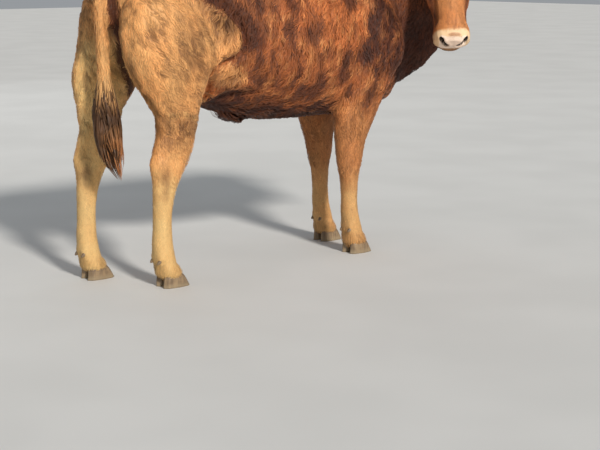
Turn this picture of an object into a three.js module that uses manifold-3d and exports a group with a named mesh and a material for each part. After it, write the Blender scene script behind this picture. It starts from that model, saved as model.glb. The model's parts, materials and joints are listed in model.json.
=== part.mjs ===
// A standing beef heifer at life size, looking back over its right side.
// Millimetres. +X runs towards the chest, +Y to the animal's left, +Z up, and the claws stand on Z = 0.
//
// The flesh is a few lofted bodies: trunk, neck, head and four limbs, each a row of named stations.
// They are joined, then parted again with thin cuts, so that every named part meets the next face to face.

import * as THREE from "three";
import { mergeVertices } from "three/addons/utils/BufferGeometryUtils.js";
import Module from "manifold-3d";

const wasm = await Module();
wasm.setup();

// ---------------------------------------------------------------- driving dimensions

const GAP = 0.3; // clearance left by every cut between neighbours
const LEFT = 1;
const RIGHT = -1;

// How far each leg stands forward of the square stance, and out from it. The whole leg below
// its swing moves by that much, and nothing above it moves.
const STANCE = {
  hindRight: { forward: 80, out: 4 },
  hindLeft: { forward: -80, out: 4 },
  foreRight: { forward: -35, out: -8 },
  foreLeft: { forward: 35, out: 2 },
};
const HIND_SWING = [640, 1000]; // heights between which the hind leg's stance fades out
const FORE_SWING = [400, 820];

// Trunk, from the pins to the brisket: topline, widest level, floor and half width at each station.
const TRUNK = [
  { x: -690, top: 1208, wide: 1120, floor: 1000, half: 92 },
  { x: -650, top: 1258, wide: 1110, floor: 900, half: 152 },
  { x: -580, top: 1286, wide: 1095, floor: 830, half: 205 },
  { x: -480, top: 1302, wide: 1080, floor: 750, half: 243 },
  { x: -350, top: 1312, wide: 1085, floor: 695, half: 256 }, // hook bones
  { x: -200, top: 1306, wide: 985, floor: 652, half: 264 }, // flank
  { x: -20, top: 1294, wide: 925, floor: 622, half: 296 }, // barrel
  { x: 150, top: 1286, wide: 915, floor: 606, half: 299 },
  { x: 310, top: 1290, wide: 930, floor: 600, half: 270 }, // girth
  { x: 430, top: 1300, wide: 950, floor: 600, half: 246 }, // withers
  { x: 550, top: 1280, wide: 950, floor: 604, half: 228 },
  { x: 650, top: 1222, wide: 920, floor: 614, half: 200 },
  { x: 735, top: 1120, wide: 860, floor: 640, half: 150 }, // brisket
];
const TRUNK_CAP = { rear: 34, front: 60 };

// Neck, along its own bent line: reach above and below that line, and half width.
const NECK_LINE = [
  [480, 0, 1010],
  [620, -8, 1060],
  [730, -50, 1120],
  [800, -130, 1190],
  [828, -225, 1250],
];
const NECK = [
  { s: 0, up: 220, down: 350, half: 180 },
  { s: 0.3, up: 214, down: 398, half: 164 },
  { s: 0.6, up: 186, down: 350, half: 138 },
  { s: 0.82, up: 152, down: 262, half: 118 },
  { s: 1, up: 128, down: 184, half: 106 },
];
const NECK_CAP = { rear: 40, front: 50 };

// Head, in its own frame: x from the poll to the nose, z = 0 on the line of the forehead and nose.
const HEAD_AT = [795, -317, 1372];
const HEAD_TURN = THREE.MathUtils.degToRad(-124); // from +X, seen from above
const HEAD_DROP = THREE.MathUtils.degToRad(60); // of the face below level
const HEAD = [
  { x: -30, top: -20, wide: -84, floor: -160, half: 88, upper: 2.3, lower: 2 },
  { x: 14, top: 0, wide: -78, floor: -208, half: 103, upper: 2.6, lower: 2 }, // poll
  { x: 74, top: 6, wide: -76, floor: -248, half: 110, upper: 2.7, lower: 2 },
  { x: 140, top: 6, wide: -82, floor: -254, half: 112, upper: 2.6, lower: 2.1 }, // orbits
  { x: 205, top: 0, wide: -104, floor: -240, half: 106, upper: 2.2, lower: 2.2 }, // cheek
  { x: 275, top: -6, wide: -106, floor: -208, half: 91, upper: 2, lower: 2.2 },
  { x: 345, top: -10, wide: -90, floor: -172, half: 74, upper: 2.1, lower: 2 }, // bridge of the nose
  { x: 400, top: -10, wide: -82, floor: -156, half: 72, upper: 2.3, lower: 2 },
  { x: 440, top: -14, wide: -82, floor: -152, half: 80, upper: 2.5, lower: 2.1 }, // muzzle
  { x: 474, top: -26, wide: -86, floor: -146, half: 78, upper: 2.5, lower: 2.1 },
];
const HEAD_CAP = { rear: 34, front: 22 };
const ORBIT = { x: 148, y: 84, z: -50, length: 46, width: 32, height: 36 };
const EYE = { x: 152, y: 101, z: -53, radius: 20 };
const NOSTRIL = { x: 490, y: 48, z: -62, length: 22, width: 11, height: 19 };
const CHIN = { x: 452, z: -132, length: 42, width: 60, height: 29 };
const LIPS = { x: 490, z: -118, slope: 10 }; // where they meet, and the jaw's fall behind, in degrees
const MUZZLE_AT = 424; // the muzzle is parted from the head here
const EAR = { x: 66, y: 100, z: -54, length: 186, width: 54 };
const EAR_LIE = { back: 22, droop: 8, turn: 28 }; // degrees

// Hind limb, from the hip to the pastern: rear and front in x, inner and outer from the midline.
const HIND = [
  { z: 1160, rear: -660, front: -410, inner: 60, outer: 205 },
  { z: 1100, rear: -704, front: -352, inner: 42, outer: 246 },
  { z: 1030, rear: -722, front: -310, inner: 28, outer: 271 },
  { z: 955, rear: -727, front: -281, inner: 22, outer: 277 },
  { z: 900, rear: -726, front: -302, inner: 22, outer: 276 }, // stifle
  { z: 850, rear: -722, front: -352, inner: 28, outer: 268 },
  { z: 800, rear: -716, front: -392, inner: 40, outer: 256 },
  { z: 745, rear: -694, front: -430, inner: 58, outer: 240 },
  { z: 690, rear: -666, front: -463, inner: 76, outer: 226 },
  { z: 620, rear: -660, front: -477, inner: 88, outer: 210 }, // gaskin
  { z: 560, rear: -668, front: -488, inner: 94, outer: 202 },
  { z: 505, rear: -696, front: -508, inner: 97, outer: 196 }, // point of the hock
  { z: 455, rear: -687, front: -540, inner: 100, outer: 194 },
  { z: 400, rear: -681, front: -572, inner: 106, outer: 190 },
  { z: 320, rear: -680, front: -597, inner: 110, outer: 186 }, // cannon
  { z: 220, rear: -682, front: -602, inner: 110, outer: 186 },
  { z: 125, rear: -689, front: -594, inner: 101, outer: 195 }, // fetlock
  { z: 88, rear: -668, front: -574, inner: 103, outer: 193 }, // pastern
  { z: 52, rear: -656, front: -560, inner: 101, outer: 195 },
];
const HIND_CAP = { top: 60, bottom: 8 };

// Fore limb, from the shoulder blade to the pastern, in the same terms.
const FORE = [
  { z: 1200, rear: 400, front: 510, inner: 60, outer: 160 },
  { z: 1110, rear: 358, front: 592, inner: 60, outer: 228 },
  { z: 1010, rear: 336, front: 656, inner: 60, outer: 257 },
  { z: 915, rear: 326, front: 688, inner: 60, outer: 268 }, // point of the shoulder
  { z: 825, rear: 322, front: 676, inner: 62, outer: 262 },
  { z: 755, rear: 324, front: 626, inner: 66, outer: 250 }, // elbow
  { z: 690, rear: 330, front: 598, inner: 72, outer: 238 },
  { z: 620, rear: 340, front: 570, inner: 80, outer: 222 },
  { z: 550, rear: 354, front: 545, inner: 86, outer: 208 }, // forearm
  { z: 480, rear: 371, front: 522, inner: 92, outer: 198 },
  { z: 400, rear: 387, front: 508, inner: 94, outer: 196 }, // knee
  { z: 350, rear: 402, front: 494, inner: 98, outer: 190 },
  { z: 270, rear: 414, front: 486, inner: 104, outer: 182 }, // cannon
  { z: 190, rear: 413, front: 490, inner: 103, outer: 183 },
  { z: 135, rear: 414, front: 504, inner: 96, outer: 190 }, // fetlock
  { z: 92, rear: 430, front: 518, inner: 98, outer: 189 }, // pastern
  { z: 52, rear: 438, front: 534, inner: 96, outer: 191 },
];
const FORE_CAP = { top: 50, bottom: 8 };

// Where the neck and the head are parted from their neighbours.
const NECK_CUT = { at: [640, 0, 1010], facing: [0.93, -0.15, 0.3], size: 900 };
const HEAD_CUT = { at: [826, -226, 1220], facing: [-0.1, -0.8, 0.35], size: 420 };
const JAW_CUT_SIZE = 1300;
const MUZZLE_CUT_SIZE = 400;

// Heights at which the limbs are parted.
const GASKIN_CUT = 590;
const HOCK_CUT = 400;
const ELBOW_CUT = 640;
const KNEE_CUT = 350;

// One claw, from its sole up: rear and front from the pastern's middle, inner and outer from the cleft.
const CLAW = [
  { z: 0, rear: -52, front: 74, inner: 2.5, outer: 49 },
  { z: 30, rear: -50, front: 58, inner: 2.5, outer: 49 },
  { z: 62, rear: -44, front: 36, inner: 4, outer: 45 },
  { z: 80, rear: -38, front: 20, inner: 6, outer: 41 },
];
const DEWCLAW = { behind: 2, y: 25, z: 108, width: 22, depth: 30, height: 30 };

// Tail: its line from the tail head down, then the switch of long hair.
const TAIL_LINE = [
  [-560, 0, 1250],
  [-650, -2, 1256],
  [-712, -10, 1212],
  [-732, -22, 1110],
  [-733, -30, 920],
  [-731, -32, 720],
];
const TAIL = [
  { s: 0, half: 34 },
  { s: 0.2, half: 37 },
  { s: 0.42, half: 29 },
  { s: 0.75, half: 26 },
  { s: 1, half: 27 },
];
const TAIL_CAP = { rear: 20, front: 14 };
const TAIL_CUTS = [1195, 1000, 860];
const SWITCH_LINE = [
  [-731, -32, 780],
  [-730, -34, 700],
  [-727, -40, 600],
  [-720, -60, 500],
  [-708, -92, 420],
];
const SWITCH = [
  { s: 0, half: 28 },
  { s: 0.25, half: 50 },
  { s: 0.6, half: 58 },
  { s: 0.8, half: 30 },
  { s: 1, half: 8 },
];
const SWITCH_CAP = { rear: 16, front: 10 };

// How finely each body is divided: round its rings, and along them.
const DETAIL = {
  trunk: { around: 24, along: 22 },
  neck: { around: 18, along: 10 },
  head: { around: 20, along: 18 },
  limb: { around: 12, along: 22 },
  claw: { around: 8, along: 6 },
  ear: { around: 10, along: 10 },
  tail: { around: 8, along: 14 },
  brush: { around: 8, along: 10 },
};

// ---------------------------------------------------------------- curves and lofts

// The values of a row of stations at any place on key, along a smooth curve through them.
function through(stations, key) {
  const names = Object.keys(stations[0]).filter((name) => name !== key);
  const places = stations.map((station) => station[key]);
  const rising = places[1] > places[0] ? 1 : -1;
  return (at) => {
    let i = 0;
    while (i < places.length - 2 && (at - places[i + 1]) * rising > 0) i++;
    const span = places[i + 1] - places[i];
    const t = THREE.MathUtils.clamp((at - places[i]) / span, 0, 1);
    const found = {};
    for (const name of names) {
      const slope = (k) => {
        const low = Math.max(k - 1, 0);
        const high = Math.min(k + 1, places.length - 1);
        return (stations[high][name] - stations[low][name]) / (places[high] - places[low]);
      };
      const a = stations[i][name];
      const b = stations[i + 1][name];
      const rise = t * t * (3 - 2 * t);
      const leave = slope(i) * span * t * (1 - t) * (1 - t);
      const arrive = slope(i + 1) * span * t * t * (t - 1);
      found[name] = a + (b - a) * rise + leave + arrive;
    }
    return found;
  };
}

// A superellipse's reach along one direction: roundness 2 is an ellipse, more is squarer.
const reach = (turn, roundness) => Math.sign(turn) * Math.abs(turn) ** (2 / roundness);

// A closed body over rings from start to end. section(at) gives a ring's centre, its side and rise
// directions and its four reaches. The ends close as domes as deep as their caps.
const DOME_RINGS = 2;
function loft(section, { start, end, capStart, capEnd, around, along }) {
  const shape = new THREE.SphereGeometry(1, around, along);
  const way = Math.sign(end - start);
  const body = Math.abs(end - start) - capStart - capEnd;
  const places = [];
  for (let ring = 0; ring <= along; ring++) {
    const fromEnd = along - ring;
    if (ring <= DOME_RINGS) {
      const angle = (ring / DOME_RINGS) * (Math.PI / 2);
      places.push({ at: start + way * capStart * (1 - Math.cos(angle)), size: Math.sin(angle) });
    } else if (fromEnd <= DOME_RINGS) {
      const angle = (fromEnd / DOME_RINGS) * (Math.PI / 2);
      places.push({ at: end - way * capEnd * (1 - Math.cos(angle)), size: Math.sin(angle) });
    } else {
      const share = (ring - DOME_RINGS) / (along - 2 * DOME_RINGS);
      places.push({ at: start + way * (capStart + body * share), size: 1 });
    }
  }
  const position = shape.attributes.position;
  for (let ring = 0; ring <= along; ring++) {
    const { at, size } = places[ring];
    const s = section(at);
    for (let step = 0; step <= around; step++) {
      const angle = ((step % around) / around) * Math.PI * 2;
      const rise = Math.cos(angle);
      const side = Math.sin(angle);
      const roundness = rise > 0 ? (s.upper ?? 2) : (s.lower ?? 2);
      const point = s.centre
        .clone()
        .addScaledVector(s.rise, size * (rise > 0 ? s.up : s.down) * reach(rise, roundness))
        .addScaledVector(s.side, size * (side > 0 ? s.left : s.right) * reach(side, roundness));
      position.setXYZ(ring * (around + 1) + step, point.x, point.y, point.z);
    }
  }
  return facingOut(closed(shape));
}

// Turns every triangle over when the rings ran the other way and left the body inside out.
function facingOut(geometry) {
  const { array } = geometry.attributes.position;
  const index = geometry.index.array;
  const corner = (i) => new THREE.Vector3().fromArray(array, 3 * index[i]);
  let volume = 0;
  for (let i = 0; i < index.length; i += 3)
    volume += corner(i).dot(corner(i + 1).cross(corner(i + 2)));
  if (volume < 0)
    for (let i = 0; i < index.length; i += 3) [index[i], index[i + 1]] = [index[i + 1], index[i]];
  return geometry;
}

// Only positions, with the vertices that share a place merged.
function closed(geometry) {
  geometry.deleteAttribute("normal");
  geometry.deleteAttribute("uv");
  return mergeVertices(geometry, 1e-3);
}

// A body whose rings are upright and stand across the animal.
function uprightBody(stations, caps, detail, roundness = () => ({})) {
  const at = through(stations, "x");
  const start = stations[0].x - caps.rear;
  const end = stations.at(-1).x + caps.front;
  const section = (x) => {
    const { top, wide, floor, half, upper = 2, lower = 2 } = at(x);
    return {
      centre: new THREE.Vector3(x, 0, wide),
      side: new THREE.Vector3(0, 1, 0),
      rise: new THREE.Vector3(0, 0, 1),
      up: top - wide,
      down: wide - floor,
      left: half,
      right: half,
      upper,
      lower,
      ...roundness(x),
    };
  };
  return loft(section, { start, end, capStart: caps.rear, capEnd: caps.front, ...detail });
}

// A body whose rings are level: a limb or a claw, seen as slices from the top down.
function levelBody(stations, place, caps, detail, roundness = 2.1) {
  const at = through(stations, "z");
  const section = (z) => {
    const { rear, front, inner, outer } = at(z);
    const { x, y } = place(z);
    return {
      centre: new THREE.Vector3(x + (rear + front) / 2, y((inner + outer) / 2), z),
      side: new THREE.Vector3(0, 1, 0),
      rise: new THREE.Vector3(1, 0, 0),
      up: (front - rear) / 2,
      down: (front - rear) / 2,
      left: (outer - inner) / 2,
      right: (outer - inner) / 2,
      upper: roundness,
      lower: roundness,
    };
  };
  const start = stations[0].z + caps.top;
  const end = stations.at(-1).z - caps.bottom;
  return loft(section, { start, end, capStart: caps.top, capEnd: caps.bottom, ...detail });
}

// A body along a bent line. Its side direction stays level, or as near to across as the line lets it.
function bentBody(line, stations, cap, detail, roundness = {}, across = null) {
  const curve = new THREE.CatmullRomCurve3(line.map((point) => new THREE.Vector3(...point)));
  const at = through(stations, "s");
  const length = curve.getLength();
  const section = (place) => {
    const s = THREE.MathUtils.clamp(place / length, 0, 1);
    const { half, up = half, down = half } = at(s);
    const along = curve.getTangentAt(s);
    const side = across ? across.clone() : new THREE.Vector3(-along.y, along.x, 0);
    side.addScaledVector(along, -side.dot(along)).normalize();
    const rise = new THREE.Vector3().crossVectors(along, side).normalize();
    const centre = curve.getPointAt(s).addScaledVector(along, place - s * length);
    return { centre, side, rise, up, down, left: half, right: half, ...roundness };
  };
  const ends = { start: -cap.rear, end: length + cap.front };
  return loft(section, { ...ends, capStart: cap.rear, capEnd: cap.front, ...detail });
}

// ---------------------------------------------------------------- solids

const solid = (geometry) =>
  new wasm.Manifold(
    new wasm.Mesh({
      numProp: 3,
      vertProperties: geometry.attributes.position.array,
      triVerts: new Uint32Array(geometry.index.array),
    }),
  );

function geometryOf(made) {
  const mesh = made.getMesh();
  const geometry = new THREE.BufferGeometry();
  geometry.setAttribute("position", new THREE.BufferAttribute(new Float32Array(mesh.vertProperties), 3));
  geometry.setIndex(new THREE.BufferAttribute(new Uint32Array(mesh.triVerts), 1));
  return geometry;
}

// The same closed shape, standing out by distance on every side.
function grown(geometry, distance = GAP * 1.4) {
  const wider = geometry.clone();
  wider.computeVertexNormals();
  const { position, normal } = wider.attributes;
  for (let i = 0; i < position.count; i++)
    position.setXYZ(
      i,
      position.getX(i) + normal.getX(i) * distance,
      position.getY(i) + normal.getY(i) * distance,
      position.getZ(i) + normal.getZ(i) * distance,
    );
  wider.deleteAttribute("normal");
  return wider;
}

const ellipsoid = (length, width, height, place, detail = 14) =>
  closed(new THREE.SphereGeometry(1, detail, detail - 4))
    .scale(length, width, height)
    .translate(place.x, place.y, place.z);

// A thin slab across a part: centre, the direction it faces, and how far it reaches.
function cut(centre, facing, size) {
  const slab = closed(new THREE.BoxGeometry(GAP, size, size));
  const turn = new THREE.Quaternion().setFromUnitVectors(
    new THREE.Vector3(1, 0, 0),
    new THREE.Vector3(...facing).normalize(),
  );
  return solid(slab.applyQuaternion(turn).translate(...centre));
}

// The pieces of a divided solid, the largest first.
const bySize = (made) => made.decompose().sort((a, b) => b.volume() - a.volume());

// The pieces that thin cuts leave, the greatest reach along the given direction first.
function parted(whole, cuts, order) {
  const pieces = cuts.reduce((rest, slab) => rest.subtract(slab), whole).decompose();
  return pieces.sort((a, b) => order(b.boundingBox()) - order(a.boundingBox()));
}

// ---------------------------------------------------------------- limbs, claws and dewclaws

// Where a leg's slice at height z is moved to by the stance, and mirrored to its side.
const stance = (side, { forward, out }, [low, high]) => (z) => {
  const share = 1 - THREE.MathUtils.smoothstep(z, low, high);
  return { x: forward * share, y: (fromMiddle) => side * (fromMiddle + out * share) };
};

function foot(name, limb, stations, side, place) {
  const pastern = stations.at(-1);
  const ground = place(0);
  const middle = new THREE.Vector3(
    ground.x + (pastern.rear + pastern.front) / 2,
    ground.y((pastern.inner + pastern.outer) / 2),
    0,
  );
  const group = new THREE.Group();
  group.position.copy(middle);
  const heel = place(DEWCLAW.z).x + through(stations, "z")(DEWCLAW.z).rear - middle.x;
  const flesh = solid(grown(limb).translate(-middle.x, -middle.y, 0));
  for (const half of [1, -1]) {
    const spot = () => ({ x: 0, y: (fromCleft) => half * fromCleft });
    const caps = { top: 5, bottom: 0 };
    const claw = levelBody([...CLAW].reverse(), spot, caps, DETAIL.claw, 2.2);
    const dewclaw = ellipsoid(DEWCLAW.depth / 2, DEWCLAW.width / 2, DEWCLAW.height / 2, {
      x: heel - DEWCLAW.behind,
      y: half * DEWCLAW.y,
      z: DEWCLAW.z,
    }, 8);
    const which = half === side ? "outer" : "inner";
    group.add(
      part(`${name}_claw_${which}`, bySize(solid(claw).subtract(flesh))[0], "claw"),
      part(`${name}_dewclaw_${which}`, bySize(solid(dewclaw).subtract(flesh))[0], "claw"),
    );
  }
  return group;
}

// ---------------------------------------------------------------- materials and parts

const FINISH = {
  hide: { color: "#b5703c", roughness: 0.85 },
  pale: { color: "#d9a765", roughness: 0.85 },
  dark: { color: "#4a3020", roughness: 0.8 },
  claw: { color: "#6b5a45", roughness: 0.5 },
  eye: { color: "#1c120c", roughness: 0.1 },
};
const materials = Object.fromEntries(
  Object.entries(FINISH).map(([name, finish]) => [
    name,
    new THREE.MeshStandardMaterial({ ...finish, metalness: 0 }),
  ]),
);

function part(name, made, material) {
  const mesh = new THREE.Mesh(geometryOf(made), materials[material]);
  mesh.name = name;
  return mesh;
}

// ---------------------------------------------------------------- the limbs

const LIMBS = [
  { name: "hind", stations: HIND, caps: HIND_CAP, swing: HIND_SWING, cuts: [GASKIN_CUT, HOCK_CUT] },
  { name: "fore", stations: FORE, caps: FORE_CAP, swing: FORE_SWING, cuts: [ELBOW_CUT, KNEE_CUT] },
];
const LIMB_PARTS = {
  hind: ["thigh", "hock", "hind_cannon"],
  fore: ["shoulder", "forearm", "fore_cannon"],
};

function limbFlesh() {
  return LIMBS.flatMap((limb) =>
    [["right", RIGHT], ["left", LEFT]].map(([word, side]) => {
      const pose = STANCE[limb.name + (side === RIGHT ? "Right" : "Left")];
      const place = stance(side, pose, limb.swing);
      const flesh = levelBody(limb.stations, place, limb.caps, DETAIL.limb);
      return { ...limb, word, side, place, flesh };
    }),
  );
}

// A limb's three lengths, and its foot.
function limbParts({ name, word, side, stations, place, flesh, cuts }) {
  const level = (z) => {
    const { x, y } = place(z);
    const { rear, front, inner, outer } = through(stations, "z")(z);
    return [x + (rear + front) / 2, y((inner + outer) / 2), z];
  };
  const slabs = cuts.map((z) => cut(level(z), [0, 0, 1], 400));
  const lengths = parted(solid(flesh), slabs, (box) => box.max[2]).map((piece, i) =>
    part(`${LIMB_PARTS[name][i]}_${word}`, piece, i < 2 ? "hide" : "pale"),
  );
  return [...lengths, foot(`${name}_${word}`, flesh, stations, side, place)];
}

// ---------------------------------------------------------------- the head

function earShape(side) {
  const stations = [
    { s: 0, up: 17, down: 17, half: 19 },
    { s: 0.22, up: 15, down: 8, half: 33 },
    { s: 0.5, up: 10, down: -3, half: EAR.width },
    { s: 0.75, up: 7, down: -2, half: 42 },
    { s: 1, up: 4, down: 3, half: 12 },
  ];
  const line = [
    [0, 0, 0],
    [0, side * EAR.length * 0.35, 4],
    [-4, side * EAR.length * 0.7, 2],
    [-2, side * EAR.length, -6],
  ];
  const lie = new THREE.Euler(
    -side * THREE.MathUtils.degToRad(EAR_LIE.droop),
    THREE.MathUtils.degToRad(EAR_LIE.turn),
    side * THREE.MathUtils.degToRad(EAR_LIE.back),
  );
  return bentBody(line, stations, { rear: 24, front: 8 }, DETAIL.ear)
    .applyMatrix4(new THREE.Matrix4().makeRotationFromEuler(lie))
    .translate(EAR.x, side * EAR.y, EAR.z);
}

// An empty group standing where the head does, turned as it is.
function headFrame() {
  const frame = new THREE.Group();
  frame.position.set(...HEAD_AT);
  frame.rotation.set(0, HEAD_DROP, HEAD_TURN, "ZYX");
  frame.updateMatrix();
  return frame;
}

// The head's own bodies, all in its frame: flesh to join, hollows to take out, and loose parts.
function headBodies() {
  const pair = (shape, { length, width, height }, detail) =>
    [LEFT, RIGHT].map((side) =>
      ellipsoid(length, width, height, { ...shape, y: side * shape.y }, detail),
    );
  const orbits = pair(ORBIT, ORBIT, 12);
  const nostrils = pair(NOSTRIL, NOSTRIL, 10);
  const eyes = pair(EYE, { length: EYE.radius, width: EYE.radius, height: EYE.radius }, 10);
  const ears = [LEFT, RIGHT].map(earShape);
  const chin = ellipsoid(CHIN.length, CHIN.width, CHIN.height, { ...CHIN, y: 0 }, 12);
  return {
    flesh: [uprightBody(HEAD, HEAD_CAP, DETAIL.head), ...orbits, chin].map(solid),
    hollows: [...nostrils, ...[...eyes, ...ears].map((piece) => grown(piece))].map(solid),
    loose: [
      ...eyes.map((eye, i) => part(`eye_${i ? "right" : "left"}`, solid(eye), "eye")),
      ...ears.map((ear, i) => part(`ear_${i ? "right" : "left"}`, solid(ear), "hide")),
    ],
  };
}

// The muzzle is parted from the face first, and the lower jaw then from both.
function headParts(whole) {
  const fall = Math.tan(THREE.MathUtils.degToRad(LIPS.slope));
  const jawCut = cut([LIPS.x, 0, LIPS.z], [-fall, 0, 1], JAW_CUT_SIZE);
  const muzzleCut = cut([MUZZLE_AT, 0, -80], [1, 0, 0], MUZZLE_CUT_SIZE);
  const [upper, jaw] = bySize(whole.subtract(jawCut));
  const [face, muzzle] = bySize(upper.subtract(muzzleCut));
  return [part("head", face, "hide"), part("muzzle", muzzle, "pale"), part("lower_jaw", jaw, "hide")];
}

// ---------------------------------------------------------------- the tail

const ACROSS_TAIL = new THREE.Vector3(0, 1, 0);
const tailFlesh = () => bentBody(TAIL_LINE, TAIL, TAIL_CAP, DETAIL.tail, {}, ACROSS_TAIL);
const brushHair = () => bentBody(SWITCH_LINE, SWITCH, SWITCH_CAP, DETAIL.brush, {}, ACROSS_TAIL);

function tailParts(flesh, brush) {
  const slabs = TAIL_CUTS.map((z) => cut([-725, -20, z], [0, 0, 1], 140));
  const lengths = parted(solid(flesh).subtract(solid(grown(brush))), slabs, (box) => box.max[2])
    .filter((piece) => piece.volume() > 1e3)
    .map((piece, i) => part(`tail_${i + 1}`, piece, "pale"));
  return [...lengths, part("tail_switch", solid(brush), "dark")];
}

// ---------------------------------------------------------------- the whole animal

function trunkFlesh() {
  const roundness = (x) => ({ upper: 2.25, lower: x > 600 ? 1.8 : 2.15 });
  return uprightBody(TRUNK, TRUNK_CAP, DETAIL.trunk, roundness);
}

function neckFlesh() {
  return bentBody(NECK_LINE, NECK, NECK_CAP, DETAIL.neck, { upper: 2, lower: 1.4 });
}

// Trunk, neck and head are joined into one body, hollowed for what meets them, then parted.
function torsoParts(head, frame, neighbours) {
  const placed = (made) => made.transform([...frame.matrix.elements]);
  const joined = [neckFlesh(), trunkFlesh()]
    .map(solid)
    .concat(head.flesh.map(placed))
    .reduce((sum, body) => sum.add(body));
  const hollows = [...head.hollows.map(placed), ...neighbours.map((flesh) => solid(grown(flesh)))];
  const slabs = [NECK_CUT, HEAD_CUT].map(({ at, facing, size }) => cut(at, facing, size));
  const [trunk, neck, whole] = bySize(
    [...hollows, ...slabs].reduce((rest, body) => rest.subtract(body), joined),
  );
  frame.add(...head.loose, ...headParts(whole.transform([...frame.matrix.clone().invert().elements])));
  return [part("trunk", trunk, "hide"), part("neck", neck, "hide"), frame];
}

function buildHeifer() {
  const heifer = new THREE.Group();
  const limbs = limbFlesh();
  const tail = tailFlesh();
  const brush = brushHair();
  const neighbours = [...limbs.map(({ flesh }) => flesh), tail];
  heifer.add(
    ...torsoParts(headBodies(), headFrame(), neighbours),
    ...limbs.flatMap(limbParts),
    ...tailParts(tail, brush),
  );
  return heifer;
}

// The origin stands on the floor under the middle of the whole animal.
function centred(animal) {
  animal.updateMatrixWorld(true);
  const middle = new THREE.Box3().setFromObject(animal, true).getCenter(new THREE.Vector3());
  animal.position.set(-middle.x, -middle.y, 0);
  return animal;
}

export default centred(buildHeifer());
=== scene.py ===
"""A standing beef heifer at life size, looking back over its right side.

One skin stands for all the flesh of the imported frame, and a coat of solid locks lies over it.
Lengths are in metres. Places on the body are given from the point on the floor under its middle
that Pose.body gives: +X to the chest, +Y to the animal's left, +Z up. Places on the head are given
from the poll: +X to the nose, +Y to the animal's left, +Z out of the forehead.
"""

import json
import logging
import math
from dataclasses import dataclass, field
from enum import Enum

import bmesh
import bpy
import numpy as np
from bpy.types import ID, Light, Material, Mesh, Node, NodeSocket, NodeTree, Object
from mathutils import Euler, Matrix, Vector
from mathutils.bvhtree import BVHTree
from mathutils.kdtree import KDTree

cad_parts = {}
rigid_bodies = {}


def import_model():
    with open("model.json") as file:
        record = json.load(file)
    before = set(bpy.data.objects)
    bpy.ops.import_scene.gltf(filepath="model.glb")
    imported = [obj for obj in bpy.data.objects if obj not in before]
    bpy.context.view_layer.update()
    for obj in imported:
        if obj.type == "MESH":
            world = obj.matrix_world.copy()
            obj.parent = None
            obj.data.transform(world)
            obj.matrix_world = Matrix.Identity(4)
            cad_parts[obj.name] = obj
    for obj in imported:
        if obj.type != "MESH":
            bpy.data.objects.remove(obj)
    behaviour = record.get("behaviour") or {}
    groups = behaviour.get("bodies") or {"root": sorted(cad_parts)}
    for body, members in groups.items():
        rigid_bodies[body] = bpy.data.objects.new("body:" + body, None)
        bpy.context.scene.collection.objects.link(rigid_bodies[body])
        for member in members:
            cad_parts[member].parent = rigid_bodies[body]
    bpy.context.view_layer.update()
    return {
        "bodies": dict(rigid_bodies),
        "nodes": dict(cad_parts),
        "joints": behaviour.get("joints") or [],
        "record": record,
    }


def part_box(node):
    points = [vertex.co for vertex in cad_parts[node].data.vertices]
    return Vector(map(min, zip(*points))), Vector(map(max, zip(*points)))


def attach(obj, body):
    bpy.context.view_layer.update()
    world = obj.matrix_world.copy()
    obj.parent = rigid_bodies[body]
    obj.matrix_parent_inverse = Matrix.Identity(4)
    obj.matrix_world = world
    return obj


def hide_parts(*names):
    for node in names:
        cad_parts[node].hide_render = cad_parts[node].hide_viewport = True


LOG = logging.getLogger("heifer")
Array = np.ndarray
BAKE_MAP = "OFBake"
BOTH = (1, -1)  # the animal's left and right side


class Slot(Enum):
    """The record's slots, by the finish that each takes."""

    RED = "coat_red"
    GOLD = "coat_gold"
    CREAM = "coat_cream"
    NOSE = "nose_skin"
    TAIL = "tail_hair"
    HORN = "claw_horn"
    EYE = "eye"


# ---- numbers


def ease(values: Array, low: float, high: float) -> Array:
    """Rises smoothly from 0 at low to 1 at high, or falls if high is the lower of the two."""
    t = np.clip((values - low) / (high - low), 0, 1)
    return t * t * (3 - 2 * t)


def unit(vectors: Array) -> Array:
    """The same directions, each one long."""
    return vectors / np.maximum(np.linalg.norm(vectors, axis=-1, keepdims=True), 1e-9)


def dot(a: Array, b: Array) -> Array:
    """The dot product of each pair of vectors, kept as a column."""
    return (a * b).sum(-1, keepdims=True)


def lump(points: Array, centre: Array | tuple, radii: tuple) -> Array:
    """A smooth hill: 1 at the centre and 0 on the ellipsoid of those radii."""
    reach = np.linalg.norm((points - centre) / radii, axis=-1)
    return ease(reach, 1.0, 0.0)


def ridge(points: Array, line: list, width: float) -> Array:
    """A smooth ridge along a bent line: 1 on it, 0 at that distance from it.

    Args:
        points: Places, one a row.
        line: The line's points.
        width: How far the ridge reaches to either side.

    Returns:
        One height for each place.
    """
    nearest = np.full(len(points), np.inf)
    for start, end in zip(np.array(line[:-1], float), np.array(line[1:], float)):
        along = end - start
        t = np.clip(((points - start) @ along) / (along @ along), 0, 1)
        nearest = np.minimum(nearest, np.linalg.norm(points - start - t[:, None] * along, axis=1))
    return ease(nearest, width, 0.0)


def scatter(cells: Array, seed: int) -> Array:
    """A fixed random number for each whole-numbered cell.

    Args:
        cells: The cells' numbers along three axes, last.
        seed: Gives other numbers.

    Returns:
        Numbers from 0 to 1.
    """
    mixed = (cells[..., 0] * 73856093) ^ (cells[..., 1] * 19349663) ^ (cells[..., 2] * 83492791)
    mixed = (mixed ^ (seed * 2654435761)) & 0x7FFFFFFF
    mixed = ((mixed ^ (mixed >> 13)) * 1274126177) & 0x7FFFFFFF
    mixed = ((mixed ^ (mixed >> 15)) * 668265263) & 0x7FFFFFFF
    return ((mixed >> 7) & 0xFFFF) / 65535.0


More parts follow.
